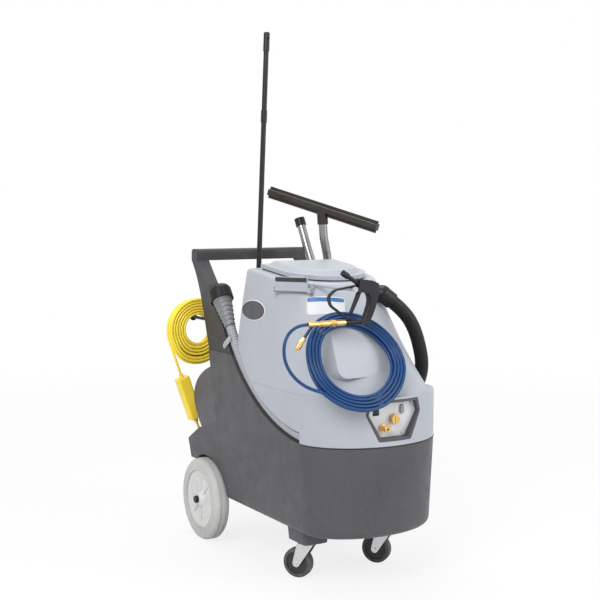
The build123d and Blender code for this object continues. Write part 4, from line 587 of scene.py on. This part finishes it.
# Height of each row of points, and its depth as a share of the ribs' depth
GRIP_ROWS = (
    (GRIP_LOW, -0.4),
    (GRIP_LOW + 0.4, 0.7),
    (GRIP_LOW + 2.0, 1.0),
    (GRIP_HIGH - 2.0, 1.0),
    (GRIP_HIGH - 0.4, 0.7),
    (GRIP_HIGH, -0.4),
)
latch_cos, latch_sin = math.cos(LATCH_TURN), math.sin(LATCH_TURN)
latch_out = Vector((latch_cos / LATCH_BOW[0], -latch_sin / LATCH_BOW[1], 0)).normalized()
latch_along = Vector((-latch_out.y, latch_out.x, 0))
latch_hinge = Vector((
    LATCH_CENTRE_X + LATCH_BOW[0] * latch_cos,
    -LATCH_BOW[1] * latch_sin,
    LATCH_HINGE_Z,
))
grip_columns = GRIP_RIBS * RIB_COLUMNS
grip_points = []
for height, share in GRIP_ROWS:
    for column in range(grip_columns + 1):
        along = GRIP_LENGTH * (column / grip_columns - 0.5)
        crest = RIB_VALLEY + RIB_RISE * abs(math.sin(math.pi * column / RIB_COLUMNS))
        depth = GRIP_SUNK if column in (0, grip_columns) else crest * share
        place = latch_hinge + latch_along * along + latch_out * (LATCH_FACE_OUT + depth)
        grip_points.append((place + Vector((0, 0, height))) * MM)
grip_wide = grip_columns + 1
last_row = len(GRIP_ROWS) - 1
grip_faces = []
for row in range(last_row):
    for column in range(grip_columns):
        first = row * grip_wide + column
        grip_faces.append((first, first + 1, first + grip_wide + 1, first + grip_wide))
# The grip's back is one face, round its bottom, right, top and left edges
grip_edge = [
    *range(grip_wide),
    *(row * grip_wide + grip_columns for row in range(1, last_row)),
    *range(last_row * grip_wide + grip_columns, last_row * grip_wide - 1, -1),
    *(row * grip_wide for row in range(last_row - 1, 0, -1)),
]
grip_faces.append(tuple(reversed(grip_edge)))
add_piece("latch_grip", grip_points, grip_faces, "handle_plastic", "latch", smooth=False)

# Screws of the panel and bolts of the casters
HEAD_SEGMENTS = 20
HEAD_HEIGHT = 0.6            # height of a head, as a share of its radius
# Shares of the radius and of the height of each ring of a head, from its seat round to its socket
HEAD_PROFILE = ((1, 0), (1, 0.45), (0.9, 0.8), (0.66, 1), (0.46, 1), (0.42, 0.35), (0.02, 0.35))


def add_screw(name, place, normal, radius):
    """Domed steel screw head with a round socket, turned about its axis, with its seat at a place in mm."""
    normal = Vector(normal)
    side = normal.orthogonal().normalized()
    other = normal.cross(side)
    height = radius * HEAD_HEIGHT
    points = []
    for reach, rise in HEAD_PROFILE:
        for segment in range(HEAD_SEGMENTS):
            angle = 2 * math.pi * segment / HEAD_SEGMENTS
            spoke = side * math.cos(angle) + other * math.sin(angle)
            points.append((Vector(place) + spoke * reach * radius + normal * rise * height) * MM)
    faces = ring_faces(len(HEAD_PROFILE), HEAD_SEGMENTS, flipped=True)
    faces.append(tuple(reversed(range(HEAD_SEGMENTS))))
    faces.append(tuple(range(len(points) - HEAD_SEGMENTS, len(points))))
    add_piece(name, points, faces, "steel", "machine")


PANEL_FACE = ahead(852)
PANEL_SCREW = 3.4            # radius of a head
PANEL_PLACES = ((-44, 518), (44, 518), (-77, 612), (77, 612))
for number, (across, height) in enumerate(PANEL_PLACES):
    add_screw(f"panel_screw_{number}", (PANEL_FACE, across, height), (1, 0, 0), PANEL_SCREW)
CASTER_X, CASTER_Y, PLATE_UNDERSIDE = ahead(602), 159, 125.7
CASTER_BOLT = 5.5            # radius of a head
BOLT_PLACES = ((-37, -26), (-37, 26), (37, -26), (37, 26))
for side, name in ((-1, "right"), (1, "left")):
    for number, (along, across) in enumerate(BOLT_PLACES):
        place = (CASTER_X + along, side * CASTER_Y + across, PLATE_UNDERSIDE)
        add_screw(f"caster_bolt_{name}_{number}", place, (0, 0, -1), CASTER_BOLT)

# Floor and background
FLOOR_REACH = 400
FLOOR_GREY = 0.82
GLOW_NEAR, GLOW_FAR = 1.2, 5         # distances between which the floor turns from pale to white
GLOW_LEAST = 0.82                    # share of white near the object
SKY_LIGHT, SKY_SEEN = 0.55, 1.0      # strength of the background as light, and as it is seen
floor = bpy.data.objects.new("floor", bpy.data.meshes.new("floor"))
floor_corners = [(FLOOR_REACH * x, FLOOR_REACH * y, 0) for x, y in ((-1, -1), (1, -1), (1, 1), (-1, 1))]
floor.data.from_pydata(floor_corners, [], [(0, 1, 2, 3)])
bpy.context.scene.collection.objects.link(floor)


def pale_rays(tree):
    """1 for camera, glossy and transmission rays, so that only they see the white background."""
    path = tree.nodes.new("ShaderNodeLightPath")
    total = path.outputs["Is Camera Ray"]
    for ray in ("Is Glossy Ray", "Is Transmission Ray"):
        larger = tree.nodes.new("ShaderNodeMath")
        larger.operation = "MAXIMUM"
        tree.links.new(total, larger.inputs[0])
        tree.links.new(path.outputs[ray], larger.inputs[1])
        total = larger.outputs["Value"]
    return total


floor_material = bpy.data.materials.new("floor_white")
floor_material.use_nodes = True
floor_tree = floor_material.node_tree
floor_tree.nodes.remove(floor_tree.nodes["Principled BSDF"])
matt = floor_tree.nodes.new("ShaderNodeBsdfDiffuse")
matt.inputs["Color"].default_value = (FLOOR_GREY, FLOOR_GREY, FLOOR_GREY, 1)
glow = floor_tree.nodes.new("ShaderNodeEmission")
glow.inputs["Strength"].default_value = 1
floor_place = floor_tree.nodes.new("ShaderNodeTexCoord")
away = floor_tree.nodes.new("ShaderNodeVectorMath")
away.operation = "LENGTH"
floor_tree.links.new(floor_place.outputs["Object"], away.inputs[0])
# The floor turns fully white with distance, so that no horizon shows
whiteness = ranged(floor_tree, away.outputs["Value"], GLOW_LEAST, 1, start=GLOW_NEAR, end=GLOW_FAR)
glow_share = floor_tree.nodes.new("ShaderNodeMath")
glow_share.operation = "MULTIPLY"
floor_tree.links.new(pale_rays(floor_tree), glow_share.inputs[0])
floor_tree.links.new(whiteness, glow_share.inputs[1])
blend = floor_tree.nodes.new("ShaderNodeMixShader")
floor_tree.links.new(glow_share.outputs["Value"], blend.inputs["Fac"])
floor_tree.links.new(matt.outputs["BSDF"], blend.inputs[1])
floor_tree.links.new(glow.outputs["Emission"], blend.inputs[2])
floor_tree.links.new(blend.outputs["Shader"], floor_tree.nodes["Material Output"].inputs["Surface"])
floor.data.materials.append(floor_material)

world = bpy.data.worlds.new("studio")
bpy.context.scene.world = world
world.use_nodes = True
sky_tree = world.node_tree
background = sky_tree.nodes["Background"]
background.inputs["Color"].default_value = (1, 1, 1, 1)
sky_strength = ranged(sky_tree, pale_rays(sky_tree), SKY_LIGHT, SKY_SEEN, start=0, end=1)
sky_tree.links.new(sky_strength, background.inputs["Strength"])


# Lamps and camera
def add_lamp(name, place, target, size, power):
    """Soft square lamp that faces a point."""
    lamp = bpy.data.lights.new(name, "AREA")
    lamp.energy = power
    lamp.size = size
    holder = bpy.data.objects.new(name, lamp)
    holder.location = place
    holder.rotation_euler = (Vector(target) - Vector(place)).to_track_quat("-Z", "Y").to_euler()
    bpy.context.scene.collection.objects.link(holder)


add_lamp("key", place=(2.6, -3.4, 3.6), target=(0, 0, 0.6), size=2.2, power=150)
add_lamp("fill", place=(3.6, 2.6, 2.2), target=(0, 0, 0.6), size=2.6, power=80)
add_lamp("top", place=(-0.8, 0.2, 4.2), target=(0, 0, 0.8), size=2.4, power=70)

CAMERA_PLACE = (3.488, -2.099, 1.241)
CAMERA_DIP, CAMERA_TURN = 4.574, 59.573      # degrees below level, and anticlockwise from the Y axis
camera = bpy.data.cameras.new("camera")
camera.lens = 69
camera.sensor_width = 36
camera.clip_end = 1000
viewer = bpy.data.objects.new("camera", camera)
viewer.location = CAMERA_PLACE
viewer.rotation_euler = (math.radians(90 - CAMERA_DIP), 0, math.radians(CAMERA_TURN))
bpy.context.scene.collection.objects.link(viewer)
bpy.context.scene.camera = viewer
bpy.context.scene.view_settings.view_transform = "Standard"
